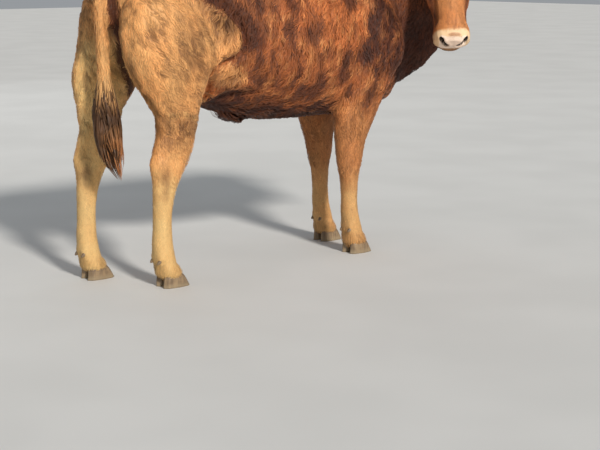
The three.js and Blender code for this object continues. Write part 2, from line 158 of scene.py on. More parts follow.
def clouds(points: Array, size: float, seed: int) -> Array:
    """Smooth noise.

    Args:
        points: Places, one a row.
        size: How large its lumps are.
        seed: Gives other noise.

    Returns:
        One number for each place, from -1 to 1.
    """
    scaled = points / size
    cell = np.floor(scaled).astype(np.int64)
    t = scaled - cell
    t = t * t * (3 - 2 * t)
    total = np.zeros(len(points))
    for corner in np.ndindex(2, 2, 2):
        share = np.prod(np.where(np.array(corner), t, 1 - t), axis=1)
        total += share * scatter(cell + np.array(corner), seed)
    return total * 2 - 1


def most(*values: Array) -> Array:
    """The largest of the values at each place."""
    return np.maximum.reduce(values)


def mirrored(points: Array, side: int) -> Array:
    """The places as they are for side 1, with left and right swapped for side -1."""
    return np.array(points) * (1, side, 1)


def word(side: int) -> str:
    """The name of a side."""
    return "left" if side > 0 else "right"


# ---- local frames


@dataclass(frozen=True)
class LocalFrame:
    """An origin and three directions, in which places on one part of the animal are given."""

    origin: Array
    axes: Array  # one direction a row

    def local(self, points: Array) -> Array:
        """Places of the whole model, in this frame."""
        return (points - self.origin) @ self.axes.T

    def world(self, points: Array) -> Array:
        """Places of this frame, in the whole model."""
        return np.asarray(points) @ self.axes + self.origin

    def turned(self, directions: Array) -> Array:
        """Directions of this frame, in the whole model."""
        return np.asarray(directions) @ self.axes


@dataclass(frozen=True)
class Pose:
    """Where the body and the head stand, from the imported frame's own boxes."""

    trunk_rear: float = 0.724  # the trunk's rear end is this far behind the body's origin
    poll: tuple = (0.795, -0.317, 1.372)
    turn: float = math.radians(-124)  # of the face, from +X
    drop: float = math.radians(60)  # of the face below level

    def body(self) -> LocalFrame:
        """The body's frame.

        Returns:
            The frame, level and facing along +X.
        """
        low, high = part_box("trunk")
        origin = np.array([low.x + self.trunk_rear, (low.y + high.y) / 2, 0.0])
        return LocalFrame(origin, np.eye(3))

    def head(self) -> LocalFrame:
        """The head's frame."""
        rotation = Matrix.Rotation(self.turn, 3, "Z") @ Matrix.Rotation(self.drop, 3, "Y")
        return LocalFrame(self.body().origin + np.array(self.poll), np.array(rotation.transposed()))


@dataclass(frozen=True)
class EyePlace:
    """Where one eye sits in the head and how its lids open, in the head's frame."""

    side: int
    along: float = 0.152
    out: float = 0.0985
    height: float = -0.053
    radius: float = 0.0190
    lid: float = 0.0024  # how thick the lids are
    gaze: tuple = (0.12, 0.94, 0.28)
    tilt: float = math.radians(20)  # of the inner corner, off the line of the face
    half_length: float = 0.0165
    upper: float = 0.0112
    lower: float = 0.0082

    def centre(self) -> Array:
        """The middle of the eyeball."""
        return np.array([self.along, self.side * self.out, self.height])

    def axes(self) -> Array:
        """The directions that places in the eye are given along.

        Returns:
            Towards the inner corner, towards the upper lid, and the way that the eye looks.
        """
        look = unit(np.array(self.gaze) * [1, self.side, 1])
        inner = np.array([math.cos(self.tilt), 0, math.sin(self.tilt)])
        inner = unit(inner - look * dot(inner, look))
        up = np.cross(look, inner) * -self.side
        return np.stack([inner, up, look])

    def local(self, points: Array) -> Array:
        """Places of the head's frame, from the eye's middle along its axes."""
        return (points - self.centre()) @ self.axes().T

    def opening(self, u: Array, v: Array) -> Array:
        """How far out from the eye's middle a place is: 1 on the edge of the lids."""
        reach = np.where(v > 0, self.upper, self.lower)
        return np.sqrt((u / self.half_length) ** 2 * 0.9 + (v / reach) ** 2)

    def rim(self, turn: Array) -> Array:
        """Places on the edge of the lids.

        Args:
            turn: How far round from the inner corner each is, in radians.

        Returns:
            How far each is to the inner corner and to the upper lid.
        """
        u, v = np.cos(turn) * self.half_length, np.sin(turn)
        v = v * np.where(v > 0, self.upper, self.lower)
        return np.stack([u, v], 1) / self.opening(u, v)[:, None]


EYES = tuple(EyePlace(side) for side in BOTH)


@dataclass(frozen=True)
class Nostril:
    """One nostril, a comma from its upper outer end to its lower inner one, in the head's frame."""

    side: int
    line: tuple = ((0.477, 0.051, -0.048), (0.486, 0.046, -0.060), (0.491, 0.037, -0.070),
                   (0.493, 0.026, -0.079))
    width: float = 0.0155
    depth: float = 0.034

    def reach(self, points: Array, wider: float = 1.0) -> Array:
        """How near places of the muzzle's front are to the comma's line.

        Args:
            points: The places, in the head's frame.
            wider: Times the nostril's own width.

        Returns:
            1 on the line, falling to 0.
        """
        flat = np.array([0.1, self.side, 1.0])
        line = [tuple(np.array(place) * [0.1, 1, 1]) for place in self.line]
        tail = ease(points[:, 1] * self.side, 0.024, 0.045)
        near = ridge(points * flat, line, self.width * wider)
        return near * (0.86 + 0.14 * tail) * (points[:, 0] > 0.43) * (points[:, 0] < 0.55)


NOSTRILS = tuple(Nostril(side) for side in BOTH)


# The line of painted shade between the buttocks and on down inside the left thigh, in the body's frame.
CLEFT_SHADE_LINE = [(-0.700, -0.062, 1.12), (-0.695, -0.060, 1.07), (-0.670, -0.035, 0.995),
         (-0.631, 0.020, 0.916), (-0.583, 0.046, 0.816), (-0.548, 0.080, 0.750)]
# Lines of the flank in the body's frame, for the left side; the right is its mirror.
THIGH_ARC = [(-0.42, 0.235, 1.15), (-0.39, 0.238, 1.105), (-0.335, 0.251, 1.074),
             (-0.289, 0.252, 1.035), (-0.252, 0.240, 0.988), (-0.242, 0.239, 0.942),
             (-0.256, 0.232, 0.903), (-0.293, 0.216, 0.873), (-0.334, 0.206, 0.863)]
THIGH_CREASE = [(-0.334, 0.206, 0.866), (-0.345, 0.202, 0.848), (-0.346, 0.189, 0.820),
                (-0.338, 0.157, 0.779), (-0.320, 0.116, 0.736)]
FLANK_FOLD = [(-0.300, 0.083, 0.706), (-0.291, 0.130, 0.735), (-0.270, 0.156, 0.751),
              (-0.238, 0.178, 0.763), (-0.205, 0.193, 0.770), (-0.168, 0.204, 0.769)]
GASKIN_CURL = [(-0.553, 0.203, 0.677), (-0.522, 0.219, 0.688), (-0.487, 0.221, 0.681),
               (-0.45, 0.214, 0.674), (-0.42, 0.20, 0.690)]


# ---- regions of the body


@dataclass(frozen=True)
class Region:
    """How the skin and coat are on one region of the body, in metres unless said."""

    name: str
    nodes: tuple
    smooth: int  # rounds of smoothing
    depth: float  # of the coat, from its outside to the skin
    length: float
    width: float
    per_area: float  # tufts on each square metre
    lift: float  # how far a tuft's middle stands off the skin
    wave: float  # how far a tuft swings to either side
    wander: float  # how far its lie strays, in radians
    clump: float  # how much its tip is drawn to its neighbours'


REGIONS = (
    Region("trunk", ("trunk",), 60, 0.012, 0.042, 0.0060, 15500, 0.0085, 0.0040, 0.50, 0.75),
    Region("neck", ("neck",), 50, 0.013, 0.044, 0.0060, 15500, 0.0095, 0.0040, 0.5, 0.75),
    Region("shoulder", ("shoulder_left", "shoulder_right"), 40, 0.010, 0.038, 0.0056, 15500,
           0.0075, 0.0036, 0.5, 0.7),
    Region("thigh", ("thigh_left", "thigh_right"), 34, 0.006, 0.026, 0.0044, 17000,
           0.0046, 0.0016, 0.26, 0.6),
    Region("hock", ("hock_left", "hock_right"), 12, 0.005, 0.018, 0.0032, 22000,
           0.0034, 0.0014, 0.35, 0.4),
    Region("forearm", ("forearm_left", "forearm_right"), 14, 0.005, 0.021, 0.0034, 20000,
           0.0038, 0.0018, 0.4, 0.5),
    Region("cannon", ("hind_cannon_left", "hind_cannon_right", "fore_cannon_left",
                      "fore_cannon_right"), 9, 0.0035, 0.015, 0.0027, 26000,
           0.0020, 0.0007, 0.18, 0.3),
    Region("head", ("head", "lower_jaw"), 9, 0.0030, 0.013, 0.0023, 52000,
           0.0016, 0.0006, 0.2, 0.3),
    Region("muzzle", ("muzzle",), 7, 0.0020, 0.009, 0.0019, 60000, 0.0011, 0.0003, 0.15, 0.15),
    Region("ear", ("ear_left", "ear_right"), 2, 0.0010, 0.015, 0.0021, 42000,
           0.0022, 0.0007, 0.15, 0.3),
    Region("tail", ("tail_1", "tail_2", "tail_3", "tail_4"), 8, 0.0050, 0.032, 0.0032, 30000,
           0.0090, 0.0016, 0.2, 0.35),
)


def of_regions(name: str, soft: Array) -> Array:
    """One of the regions' numbers, mixed by their shares at each place."""
    return soft @ np.array([getattr(region, name) for region in REGIONS], float)


# ---- meshes in numbers


class Sheet:
    """A mesh held as arrays, with what is known at each of its vertices."""

    def __init__(self, mesh: Mesh) -> None:
        """Reads the mesh's vertices, edges and triangles.

        Args:
            mesh: The mesh to read.
        """
        count = len(mesh.vertices)
        self.points = np.zeros(count * 3)
        mesh.vertices.foreach_get("co", self.points)
        self.points = self.points.reshape(-1, 3)
        edges = np.zeros(len(mesh.edges) * 2, np.int32)
        mesh.edges.foreach_get("vertices", edges)
        self.edges = edges.reshape(-1, 2)
        mesh.calc_loop_triangles()
        triangles = np.zeros(len(mesh.loop_triangles) * 3, np.int32)
        mesh.loop_triangles.foreach_get("vertices", triangles)
        self.triangles = triangles.reshape(-1, 3)
        self.degree = np.bincount(self.edges.ravel(), minlength=count)[:, None]

    def neighbours(self, values: Array) -> Array:
        """The mean of each vertex's neighbours' values.

        Args:
            values: Some for each vertex, a row each.

        Returns:
            The means, in the same rows.
        """
        (a, b), n = self.edges.T, len(self.degree)
        total = [np.bincount(a, row[b], n) + np.bincount(b, row[a], n) for row in values.T]
        return np.stack(total, 1) / self.degree

    def blurred(self, values: Array, rounds: int) -> Array:
        """The values, drawn halfway to their neighbours' mean again and again.

        Args:
            values: Some for each vertex, a row each.
            rounds: How often.

        Returns:
            The softer values.
        """
        for _ in range(rounds):
            values = values * 0.5 + self.neighbours(values) * 0.5
        return values

    def normals(self) -> Array:
        """The outward direction at each vertex.

        Returns:
            The directions, a row each.
        """
        face, total = self._crosses(), np.zeros_like(self.points)
        for corner in self.triangles.T:
            for axis in range(3):
                total[:, axis] += np.bincount(corner, face[:, axis], len(total))
        return unit(total)

    def areas(self) -> Array:
        """Each triangle's area."""
        return np.linalg.norm(self._crosses(), axis=1) / 2

    def _crosses(self) -> Array:
        """The direction that each triangle faces, twice its area long."""
        a, b, c = (self.points[corner] for corner in self.triangles.T)
        return np.cross(b - a, c - a)


def put_attribute(mesh: Mesh, name: str, values: Array) -> None:
    """Stores four numbers at each vertex, which the materials find by that name."""
    layer = mesh.attributes.new(name, "FLOAT_COLOR", "POINT")
    layer.data.foreach_set("color", np.ascontiguousarray(values, np.float32).ravel())


def new_object(name: str, data: ID) -> Object:
    """Puts an object in the scene.

    Args:
        name: Its name.
        data: Its mesh, light or camera.

    Returns:
        The object.
    """
    made = bpy.data.objects.new(name, data)
    bpy.context.scene.collection.objects.link(made)
    return made


def only(target: Object) -> None:
    """Selects one object alone and makes it the active one.

    Args:
        target: The object.
    """
    bpy.ops.object.select_all(action="DESELECT")
    target.select_set(True)
    bpy.context.view_layer.objects.active = target


def apply_modifier(target: Object, kind: str, **settings: object) -> None:
    """Adds a modifier, sets it and applies it.

    Args:
        target: The object to shape.
        kind: The modifier's type.
        **settings: Its properties.
    """
    only(target)
    modifier = target.modifiers.new(kind.title(), kind)
    for name, value in settings.items():
        setattr(modifier, name, value)
    bpy.ops.object.modifier_apply(modifier=modifier.name)


def turn_outwards(target: Object) -> None:
    """Turns all faces of a closed mesh outwards.

    Args:
        target: The mesh's object.
    """
    only(target)
    bpy.ops.object.mode_set(mode="EDIT")
    bpy.ops.mesh.select_all(action="SELECT")
    bpy.ops.mesh.normals_make_consistent(inside=False)
    bpy.ops.object.mode_set(mode="OBJECT")


def ball(radius: float, place: tuple, segments: int, rings: int) -> Object:
    """A round ball, selected and active."""
    bpy.ops.mesh.primitive_uv_sphere_add(segments=segments, ring_count=rings, radius=radius, location=place)
    return bpy.context.active_object


def copy_of(node: Object, name: str, grown: float = 0.0) -> Object:
    """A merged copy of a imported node, standing out from it by a hair's breadth if asked.

    Args:
        node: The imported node.
        name: The copy's name.
        grown: How far the copy stands out.

    Returns:
        The copy.
    """
    made = new_object(name, node.data.copy())
    made.data.materials.clear()
    shape = bmesh.new()
    shape.from_mesh(made.data)
    bmesh.ops.remove_doubles(shape, verts=shape.verts, dist=1e-5)
    shape.normal_update()
    for vertex in shape.verts:
        vertex.co += vertex.normal * grown
    shape.to_mesh(made.data)
    shape.free()
    return made


# ---- markings


class Ground:
    """Places on the animal, with what the markings there are worked out from."""

    def __init__(self, body: LocalFrame, points: Array, shares: dict) -> None:
        """Works out what several of the markings need.

        Args:
            body: The body's frame.
            points: The places.
            shares: Each region's share at each.
        """
        self.points, self.shares = points, shares
        self.p = body.local(points)
        self.x, self.y, self.z = self.p.T
        self.q = np.stack([self.x, np.abs(self.y), self.z], 1)  # brought to the left side
        self.drift = clouds(points, 0.05, 3) * 0.5 + clouds(points, 0.016, 4) * 0.3  # frays edges
        self.foreleg = ease(self.x, 0.15, 0.25)
        # Painted shade along the cleft between the buttocks, which also takes the gold away there.
        self.cleft_shade = ease(ridge(self.p, CLEFT_SHADE_LINE, 0.032), 0.0, 0.55)
        web = lump(self.q, (-0.270, 0.21, 0.822), (0.110, 0.10, 0.075))
        self.web = ease(web + 0.15 * self.drift, 0.05, 0.5)  # of skin, thigh to flank
        self._find_flank()
        self.crests = Markings.crests(points)
        self.coated = ease(shares["trunk"] + shares["shoulder"], 0.4, 0.9)

    def _find_flank(self) -> None:
        """Finds what is inside the thigh's arc, and the painted shade behind it on the flank and under the
        fold.
        """
        x, z = self.x, self.z
        arc, edge = np.array(THIGH_ARC[::-1]), np.array(FLANK_FOLD)
        front = np.interp(z, arc[:, 2], arc[:, 0])
        inside = ease(front + 0.020 * self.drift - x, -0.010, 0.012)
        self.inside = inside * ease(z, 0.850, 0.872) * ease(z, 1.19, 1.11)
        # behind: painted shade on the flank in front of the stifle's bulge.
        behind = ridge(self.q - (0.052, 0, 0), THIGH_ARC[:-2], 0.105)
        behind = ease(behind * ease(z, 0.885, 0.945), 0.0, 0.75)
        self.behind = 0.90 * behind * (1 - self.inside)
        # under: painted shade on the belly beneath the flank's fold; it also takes the gold and cream away.
        under = ease(np.interp(x, edge[:, 0], edge[:, 2]) - z, 0.002, 0.018)
        under = under * ease(x, -0.08, -0.19) * ease(z, 0.60, 0.66)
        self.under = under * (1 - self.shares["thigh"])


class Markings:
    """Where the coat is gold, cream or dark, and where the nose is bare, with painted shade and painted
    highlight among the marks. Skin and coat share it.
    """

    def __init__(self, body: LocalFrame, head: LocalFrame) -> None:
        """Keeps the frames that the markings are placed in."""
        self.body, self.head = body, head

    def at(self, points: Array, shares: dict) -> Array:
        """The four markings at places on the animal.

        Args:
            points: The places.
            shares: Each region's share at each place.

        Returns:
            Gold, cream, dark and bare nose, from 0 to 1, a row for each place.
        """
        here = Ground(self.body, points, shares)
        gold = self._gold(here)
        dark = self._dark(here, 1 - gold)
        # Painted highlight: gold on the crests of the coat's waves, less beside the stifle.
        crest_highlight = here.coated * ease(here.crests, 0.62, 0.98) * ease(here.z, 0.62, 0.75)
        crest_highlight = crest_highlight * (1 - ease(here.behind, 0.0, 0.4))
        gold = most(gold, 0.50 * crest_highlight) * (1 - 0.8 * here.cleft_shade)
        return self._face(here, gold, self._cream(here), dark)

    def _gold(self, here: Ground) -> Array:
        """The golden thighs, rump, tail, web of the flank and legs.

        Args:
            here: The places.

        Returns:
            The golden share of each.
        """
        shares, x, z, drift = here.shares, here.x, here.z, here.drift
        rump = ease(x + 0.05 * drift, -0.44, -0.58) * ease(z, 0.7, 0.9)
        hind_leg = (1 - here.foreleg) * ease(shares["hock"] + shares["cannon"], 0.2, 0.7)
        foreleg = here.foreleg * ease(z + 0.10 * drift, 0.80, 0.52)
        gold = most(
            ease(shares["thigh"] + 0.16 * drift, 0.28, 0.62),
            0.92 * rump,
            shares["tail"],
            hind_leg,
            foreleg * (0.48 + 0.37 * ease(z + 0.05 * drift, 0.45, 0.22)),
            0.72 * here.web,
            0.86 * here.inside,
        )
        return gold * (1 - 0.8 * here.under)

    def _cream(self, here: Ground) -> Array:
        """The pale lower legs, buttocks and gaskin's curl, with painted light on the far buttock and a
        painted highlight along the flank's fold.

        Args:
            here: The places.

        Returns:
            The pale share of each.
        """
        x, y, z, drift = here.x, here.y, here.z, here.drift
        hind_leg = ease(z + 0.05 * drift, 0.50, 0.34) * ease(x, 0.2, -0.2)
        shank = (0.65 - 0.20 * here.foreleg) * ease(z + 0.06 * drift, 0.42, 0.2)
        # The buttocks are pale; the far one's pale reaches further, a painted highlight where light falls
        # between the tail and the near thigh.
        pale_and_lit_buttock = 1 - ease(np.where(y > 0, y - 0.06, -y), 0.06, 0.15)
        pale_and_lit_buttock = pale_and_lit_buttock * ease(x, -0.5, -0.60) * ease(z, 1.02, 0.90)
        # The pale line along the flank's fold is a painted highlight.
        fold, curl = ridge(here.q, FLANK_FOLD, 0.020), ridge(here.q, GASKIN_CURL, 0.014)
        cream = most(hind_leg, shank, 0.95 * pale_and_lit_buttock, 0.55 * fold, 0.5 * curl)
        return cream * (1 - here.under) * (1 - 0.8 * here.shares["tail"])

    def _dark(self, here: Ground, red: Array) -> Array:
        """The dark tones, smudges and streaks, with painted shade on the neck, the belly, the flank beside
        the stifle, in the cleft and crease, under the fold and between the coat's waves.

        Args:
            here: The places.
            red: How far each place isn't golden.

        Returns:
            The dark share of each.
        """
        points, shares, q, drift = here.points, here.shares, here.q, here.drift
        x, z = here.x, here.z
        blade = shares["shoulder"] + 0.55 * clouds(points, 0.11, 15) + 0.25 * drift
        tone_and_shade = 0.82 * ease(blade, 0.15, 0.95) * ease(z, 0.72, 0.86)
        # The neck painted darker, most under the head: painted shade.
        tone_and_shade = tone_and_shade + shares["neck"] * (0.60 + 0.38 * ease(z, 1.2, 0.98))
        flank = ease(x, -0.30, -0.24) * ease(x, 0.02, -0.14)
        flank = 0.42 * flank * (1 - shares["thigh"]) * (1 - 0.9 * here.web)
        # The belly painted darker towards the bottom: painted shade on the underside.
        belly = ease(z, 0.73, 0.63) * shares["trunk"]
        blotch = 0.42 * ease(clouds(points, 0.14, 9) + 0.5 * drift, 0.0, 0.55) * red
        thigh = 0.18 * ease(clouds(points, 0.085, 12) + 0.4 * drift, 0.0, 0.5)
        thigh = thigh * ease(shares["thigh"], 0.4, 0.9) * ease(z, 0.82, 0.98)
        thigh = most(thigh, 0.50 * lump(q, (-0.325, 0.25, 1.04), (0.085, 0.09, 0.085)))
        # The thigh is painted darker in the troughs between its combed rows: painted shade.
        thigh = thigh + 0.50 * shares["thigh"] * ease(self.combings(points), 0.05, -0.45)
        rows = clouds(points * (1.0, 1.0, 1.9) + 0.012 * drift[:, None], 0.020, 14)
        gaskin = lump(q, (-0.50, 0.20, 0.61), (0.20, 0.18, 0.15))
        gaskin = gaskin * (0.30 + 0.44 * ease(rows, -0.1, 0.4) + 0.3 * drift)
        # Painted shade in the crease under the stifle.
        crease_shade = 0.85 * ridge(q, THIGH_CREASE[:3], 0.013)
        # A painted shadow along the lower edge of the stifle's arc.
        arc_shadow = 0.7 * ridge(q - (0.010, 0, -0.004), THIGH_ARC[4:], 0.013)
        dark = most(tone_and_shade, flank, here.behind, 0.90 * belly, 0.96 * here.under, blotch, thigh,
                    gaskin, crease_shade, arc_shadow)
        # Painted shade in the troughs between the coat's waves, and painted highlight on their crests.
        waves = 0.46 * ease(here.crests, 0.50, 0.05) - 0.34 * ease(here.crests, 0.6, 1.0)
        dark = dark + here.coated * (1 - here.behind) * waves
        front = shares["thigh"] * ease(x, -0.66, -0.50)
        legs = shares["cannon"] + ease(x, 0.2, 0.3) * shares["forearm"]
        dark = dark + (1 - dark) * (0.16 * front + 0.26 * legs + 0.10 * shares["tail"])
        smudge = most(lump(here.p, (-0.565, -0.19, 0.415), (0.05, 0.06, 0.12)),
                      lump(here.p, (-0.742, 0.13, 0.43), (0.06, 0.07, 0.12)))  # on the hocks
        fetlock = ridge(here.p[:, 2:], [[0.085], [0.115]], 0.03)
        # The cleft gets painted shade.
        return most(dark, smudge * (0.62 + 0.7 * drift), 0.95 * here.cleft_shade,
                    0.35 * fetlock * (0.6 + drift))

    @staticmethod
    def combings(points: Array) -> Array:
        """The rows that the coat of the thigh lies in, slanting forwards as they go down.

        Args:
            points: Places on the animal.

        Returns:
            The height of the coat at each, from about -1 to 1.
        """
        bend = 0.030 * clouds(points, 0.09, 31) + 0.008 * clouds(points, 0.025, 32)
        x, y, z = points.T
        slant = np.stack([0.78 * x + 0.62 * z + bend, 0.5 * y, 0.22 * (0.62 * x - 0.78 * z)], 1)
        return clouds(slant, 0.013, 33)

    @staticmethod
    def crests(points: Array) -> Array:
        """The crests of the long, upright waves of the coat on the ribs: 1 on one, 0 between.

        Args:
            points: Places on the animal.

        Returns:
            How near each is to a crest.
        """
        warp = clouds(points, 0.11, 21)[:, None] * (0.030, 0.0, 0.0)
        drawn = (points + warp) * (1.0, 0.6, 0.36)
        wide = 1 - np.abs(clouds(drawn, 0.036, 22)) * 2.2
        fine = 1 - np.abs(clouds(drawn, 0.017, 23)) * 2.2
        return (0.65 * wide + 0.35 * fine).clip(0, 1)

    def _face(self, here: Ground, gold: Array, cream: Array, dark: Array) -> Array:
        """Adds the face's markings to the body's, with a painted highlight on the bridge and painted shade
        on the cheeks, the face's sides, the chin, the nostrils and the mouth's line.

        Args:
            here: The places.
            gold: The body's golden share.
            cream: The body's pale share.
            dark: The body's dark share.

        Returns:
            The four markings, a row for each place.
        """
        place, drift = self.head.local(here.points), here.drift
        x, y, z = place.T
        wide = np.abs(y)
        face = ease(here.shares["head"] + here.shares["muzzle"], 0.3, 0.7)
        # Painted highlight: the front of the face is golder than its sides.
        bridge_highlight = ease(wide, 0.085, 0.05) * ease(z, -0.09, -0.04)
        gold = gold * (1 - face) + face * (0.34 * bridge_highlight + 0.05 + 0.10 * drift)
        edge = x + 0.014 * drift - 0.10 * np.clip(-z - 0.03, 0, 0.1)
        ring = ease(edge, 0.436, 0.451)  # the pale muzzle
        # Painted shade under the muzzle: the chin is darker and loses the pale ring and bare skin.
        chin_shade = ease(-0.112 - z, 0.0, 0.012) * (wide < 0.12)
        lids = most(*(lump(mirrored(place, side), (0.155, 0.112, -0.055), (0.05, 0.05, 0.042))
                      for side in BOTH))
        cream = cream * (1 - face) + face * most(ring * (0.86 - 0.5 * chin_shade), 0.35 * lids)
        streaks = clouds(place * (0.22, 1.0, 1.0), 0.0065, 41)
        # Painted shade on the lower cheeks and a painted shadow along the side of the face; the streaks are
        # the hair's own tone.
        cheek = ease(z, -0.05, -0.12) * ease(x, 0.44, 0.36)
        flat = np.stack([x, wide, z], 1)
        side_shadow = ridge(flat, [(0.20, 0.085, -0.070), (0.40, 0.066, -0.062)], 0.026)
        tone_and_shade = most(0.58 * cheek, 0.85 * side_shadow) + 0.34 * ease(streaks, 0.0, 0.6)
        dark = dark * (1 - face) + face * most((1 - ring) * tone_and_shade, ring * (0.06 + 0.44 * chin_shade))
        pad = ease(x + 0.35 * (wide - 0.03).clip(0), 0.470, 0.480) * face
        pad = pad * ease(wide, 0.062, 0.052) * ease(z, 0.0, -0.035)
        pad = pad * ease(z, -0.125, -0.116)
        tan = lump(place, (0.469, 0.0, -0.024), (0.014, 0.046, 0.03)) * face  # above the nose
        tan = ease(tan + 0.2 * drift, 0.15, 0.6)
        dark, cream = most(dark, 0.36 * tan), cream * (1 - 0.85 * tan)
        ear = ease(here.shares["ear"], 0.3, 0.8)
        gold, cream, dark = gold * (1 - ear) + 0.25 * ear, cream * (1 - ear), dark * (1 - ear)
        # The nostrils' hollows lose the gold, cream and bare skin, and get painted shade.
        holes = face * most(*(nostril.reach(place, 0.8) for nostril in NOSTRILS))
        # The mouth's line gets pink bare skin and a painted shade along its middle.
        lips = self.lips(place) * face
        shut = 1 - ease(holes, 0.0, 0.24)
        pad = most(pad * shut, 0.9 * ease(lips, 0.5, 0.9) * ease(x, 0.40, 0.44))
        # Painted shade deep in the nostrils and along the mouth's line.
        dark = most(dark, ease(holes, 0.02, 0.28), 0.9 * ease(lips, 0.75, 1.0))
        pad = most(pad, 0.36 * ring * (1 - chin_shade) * (1 - 0.6 * tan) * face * shut)
        return np.stack([gold * shut, cream * shut, dark, pad], 1).clip(0, 1)

    @staticmethod
    def lips(points: Array) -> Array:
        """The line of the mouth.

        Args:
            points: Places in the head's frame.

        Returns:
            How near each is to the line: 1 on it.
        """
        x, y, z = points.T
        line = -0.118 + math.tan(math.radians(10)) * (x - 0.49)
        near = (np.abs(y) < 0.12) & (x < 0.56)
        return ease(np.abs(z - line), 0.007, 0.0) * ease(x, 0.385, 0.40) * near


# ---- the skin


@dataclass
class Skin:
    """One skin over all the flesh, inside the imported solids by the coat's depth."""

    frame: dict
    body: LocalFrame
    head: LocalFrame
    voxel: float = 0.011
    grown: float = 0.001  # closes the cuts between the solids
    least_area: float = 8e-6  # smaller faces aren't divided again
    share_rounds: int = 14  # of blurring where regions meet
    inset_rounds: int = 24  # of blurring of how far the skin is set in
    hind_stride: float = 0.08  # how far the right hind leg stands forward, and the left one back
    fore_stride: float = 0.035  # how far the left foreleg stands forward, and the right one back
    ear_root: tuple = (0.066, 0.100, -0.054)  # of the left ear, in the head's frame
    ear_length: float = 0.186
    ear_turn: tuple = (-8, 28, 22)  # of the left ear about the head's axes, in degrees
    nodes: list = field(default_factory=list)  # that the skin stands for
    face_region: list = field(default_factory=list)  # of each face of the solids
    solids: BVHTree = None
    piece: Object = None
    sheet: Sheet = None
    soft: Array = None  # each region's share at each vertex, in the order of REGIONS
    shares: dict = None  # the same by the regions' names
    cup: Array = None  # how deep in the ears' hollows each vertex is
    marks: Array = None

    def build(self) -> Object:
        """Joins, remeshes, smooths and shapes the flesh.

        Returns:
            The skin's object.
        """
        self.nodes = [name for region in REGIONS for name in region.nodes]
        self._join()
        self._add_ears()
        self._refine()
        self.sheet = Sheet(self.piece.data)
        self._find_shares()
        self._smooth()
        self._inset()
        self._sculpt()
        self._store()
        return self.piece

    def _join(self) -> None:
        """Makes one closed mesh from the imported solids."""
        ears = [name for name in self.nodes if name.startswith("ear")]
        names = [name for name in self.nodes if name not in ears]
        copies = [copy_of(self.frame["nodes"][name], "flesh", 0.0 if name in ears else self.grown)
                  for name in names + ears]
        corners, faces = [], []
        for name, part in zip(names + ears, copies):
            start = len(corners)
            corners += [vertex.co.copy() for vertex in part.data.vertices]
            faces += [[start + i for i in face.vertices] for face in part.data.polygons]
            region = next(i for i, region in enumerate(REGIONS) if name in region.nodes)
            self.face_region += [region] * len(part.data.polygons)
        self.solids = BVHTree.FromPolygons(corners, faces)
        for ear in copies[len(names):]:
            bpy.data.objects.remove(ear)
        source = copies[: len(names)] + self._fillings()
        only(source[0])
        for part in source[1:]:
            part.select_set(True)
        bpy.ops.object.join()
        self.piece = bpy.context.active_object
        self.piece.name = self.piece.data.name = "skin"
        apply_modifier(self.piece, "REMESH", mode="VOXEL", voxel_size=self.voxel)

    def _fillings(self) -> list:
        """Balls that fill the flesh out at the eyes, the ears' roots, the nose and the fetlocks.

        Returns:
            Their objects.
        """
        made = []
        for side in BOTH:
            made.append(copy_of(self.frame["nodes"]["eye_" + word(side)], "filling", self.grown))
            for spot, radius in (((0.068, 0.094, -0.058), 0.031), ((0.471, 0.046, -0.062), 0.024)):
                place = self.head.world(mirrored(spot, side))
                made.append(ball(radius, place, 24, 12))
        for name in sorted(self.frame["nodes"]):
            if "dewclaw" in name:
                place = np.mean(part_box(name), 0) + (0.017, 0, 0.010)
                made.append(ball(0.025, place, 20, 10))
        return made

    def _add_ears(self, fineness: float = 0.0026) -> None:
        """Joins the thin ears on, which the coarse remesh would eat.

        Args:
            fineness: The size of the ears' own faces.
        """
        for side in BOTH:
            ear = copy_of(self.frame["nodes"]["ear_" + word(side)], "ear", 0.0008)
            apply_modifier(ear, "SUBSURF", levels=2, render_levels=2)
            apply_modifier(ear, "REMESH", mode="VOXEL", voxel_size=fineness)
            apply_modifier(self.piece, "BOOLEAN", operation="UNION", solver="MANIFOLD", object=ear)
            bpy.data.objects.remove(ear)

    def _refine(self) -> None:
        """Divides the faces of the head, and again round the eyes and the nose."""
        fine = (
            lambda x, y, z: (x > -0.03) & (x < 0.56) & (y < 0.13) & (z > -0.27),
            lambda x, y, z: ((abs(x - 0.155) < 0.055) & (y < 0.2) & (abs(z + 0.055) < 0.05) & (y > 0.07))
            | ((x > 0.40) & (x < 0.56) & (y < 0.13) & (z > -0.19)),
            lambda x, y, z: ((np.hypot(x - 0.152, z + 0.053) < 0.034) & (y > 0.085))
            | ((x > 0.455) & (y < 0.08) & (z > -0.10) & (z < -0.02)),
        )  # each step's zone in the head's frame, with y from the middle
        only(self.piece)
        bpy.ops.object.mode_set(mode="EDIT")
        bpy.ops.mesh.select_mode(type="FACE")
        bpy.ops.mesh.select_all(action="DESELECT")
        bpy.ops.object.mode_set(mode="OBJECT")
        for inside in fine:
            mesh = self.piece.data
            middles, areas = np.zeros(len(mesh.polygons) * 3), np.zeros(len(mesh.polygons))
            mesh.polygons.foreach_get("center", middles)
            mesh.polygons.foreach_get("area", areas)
            x, y, z = self.head.local(middles.reshape(-1, 3)).T
            chosen = inside(x, np.abs(y), z) & (areas > self.least_area)
            mesh.polygons.foreach_set("select", chosen)
            bpy.ops.object.mode_set(mode="EDIT")
            bpy.ops.mesh.subdivide(number_cuts=1, smoothness=0)
            bpy.ops.mesh.select_all(action="DESELECT")
            bpy.ops.object.mode_set(mode="OBJECT")

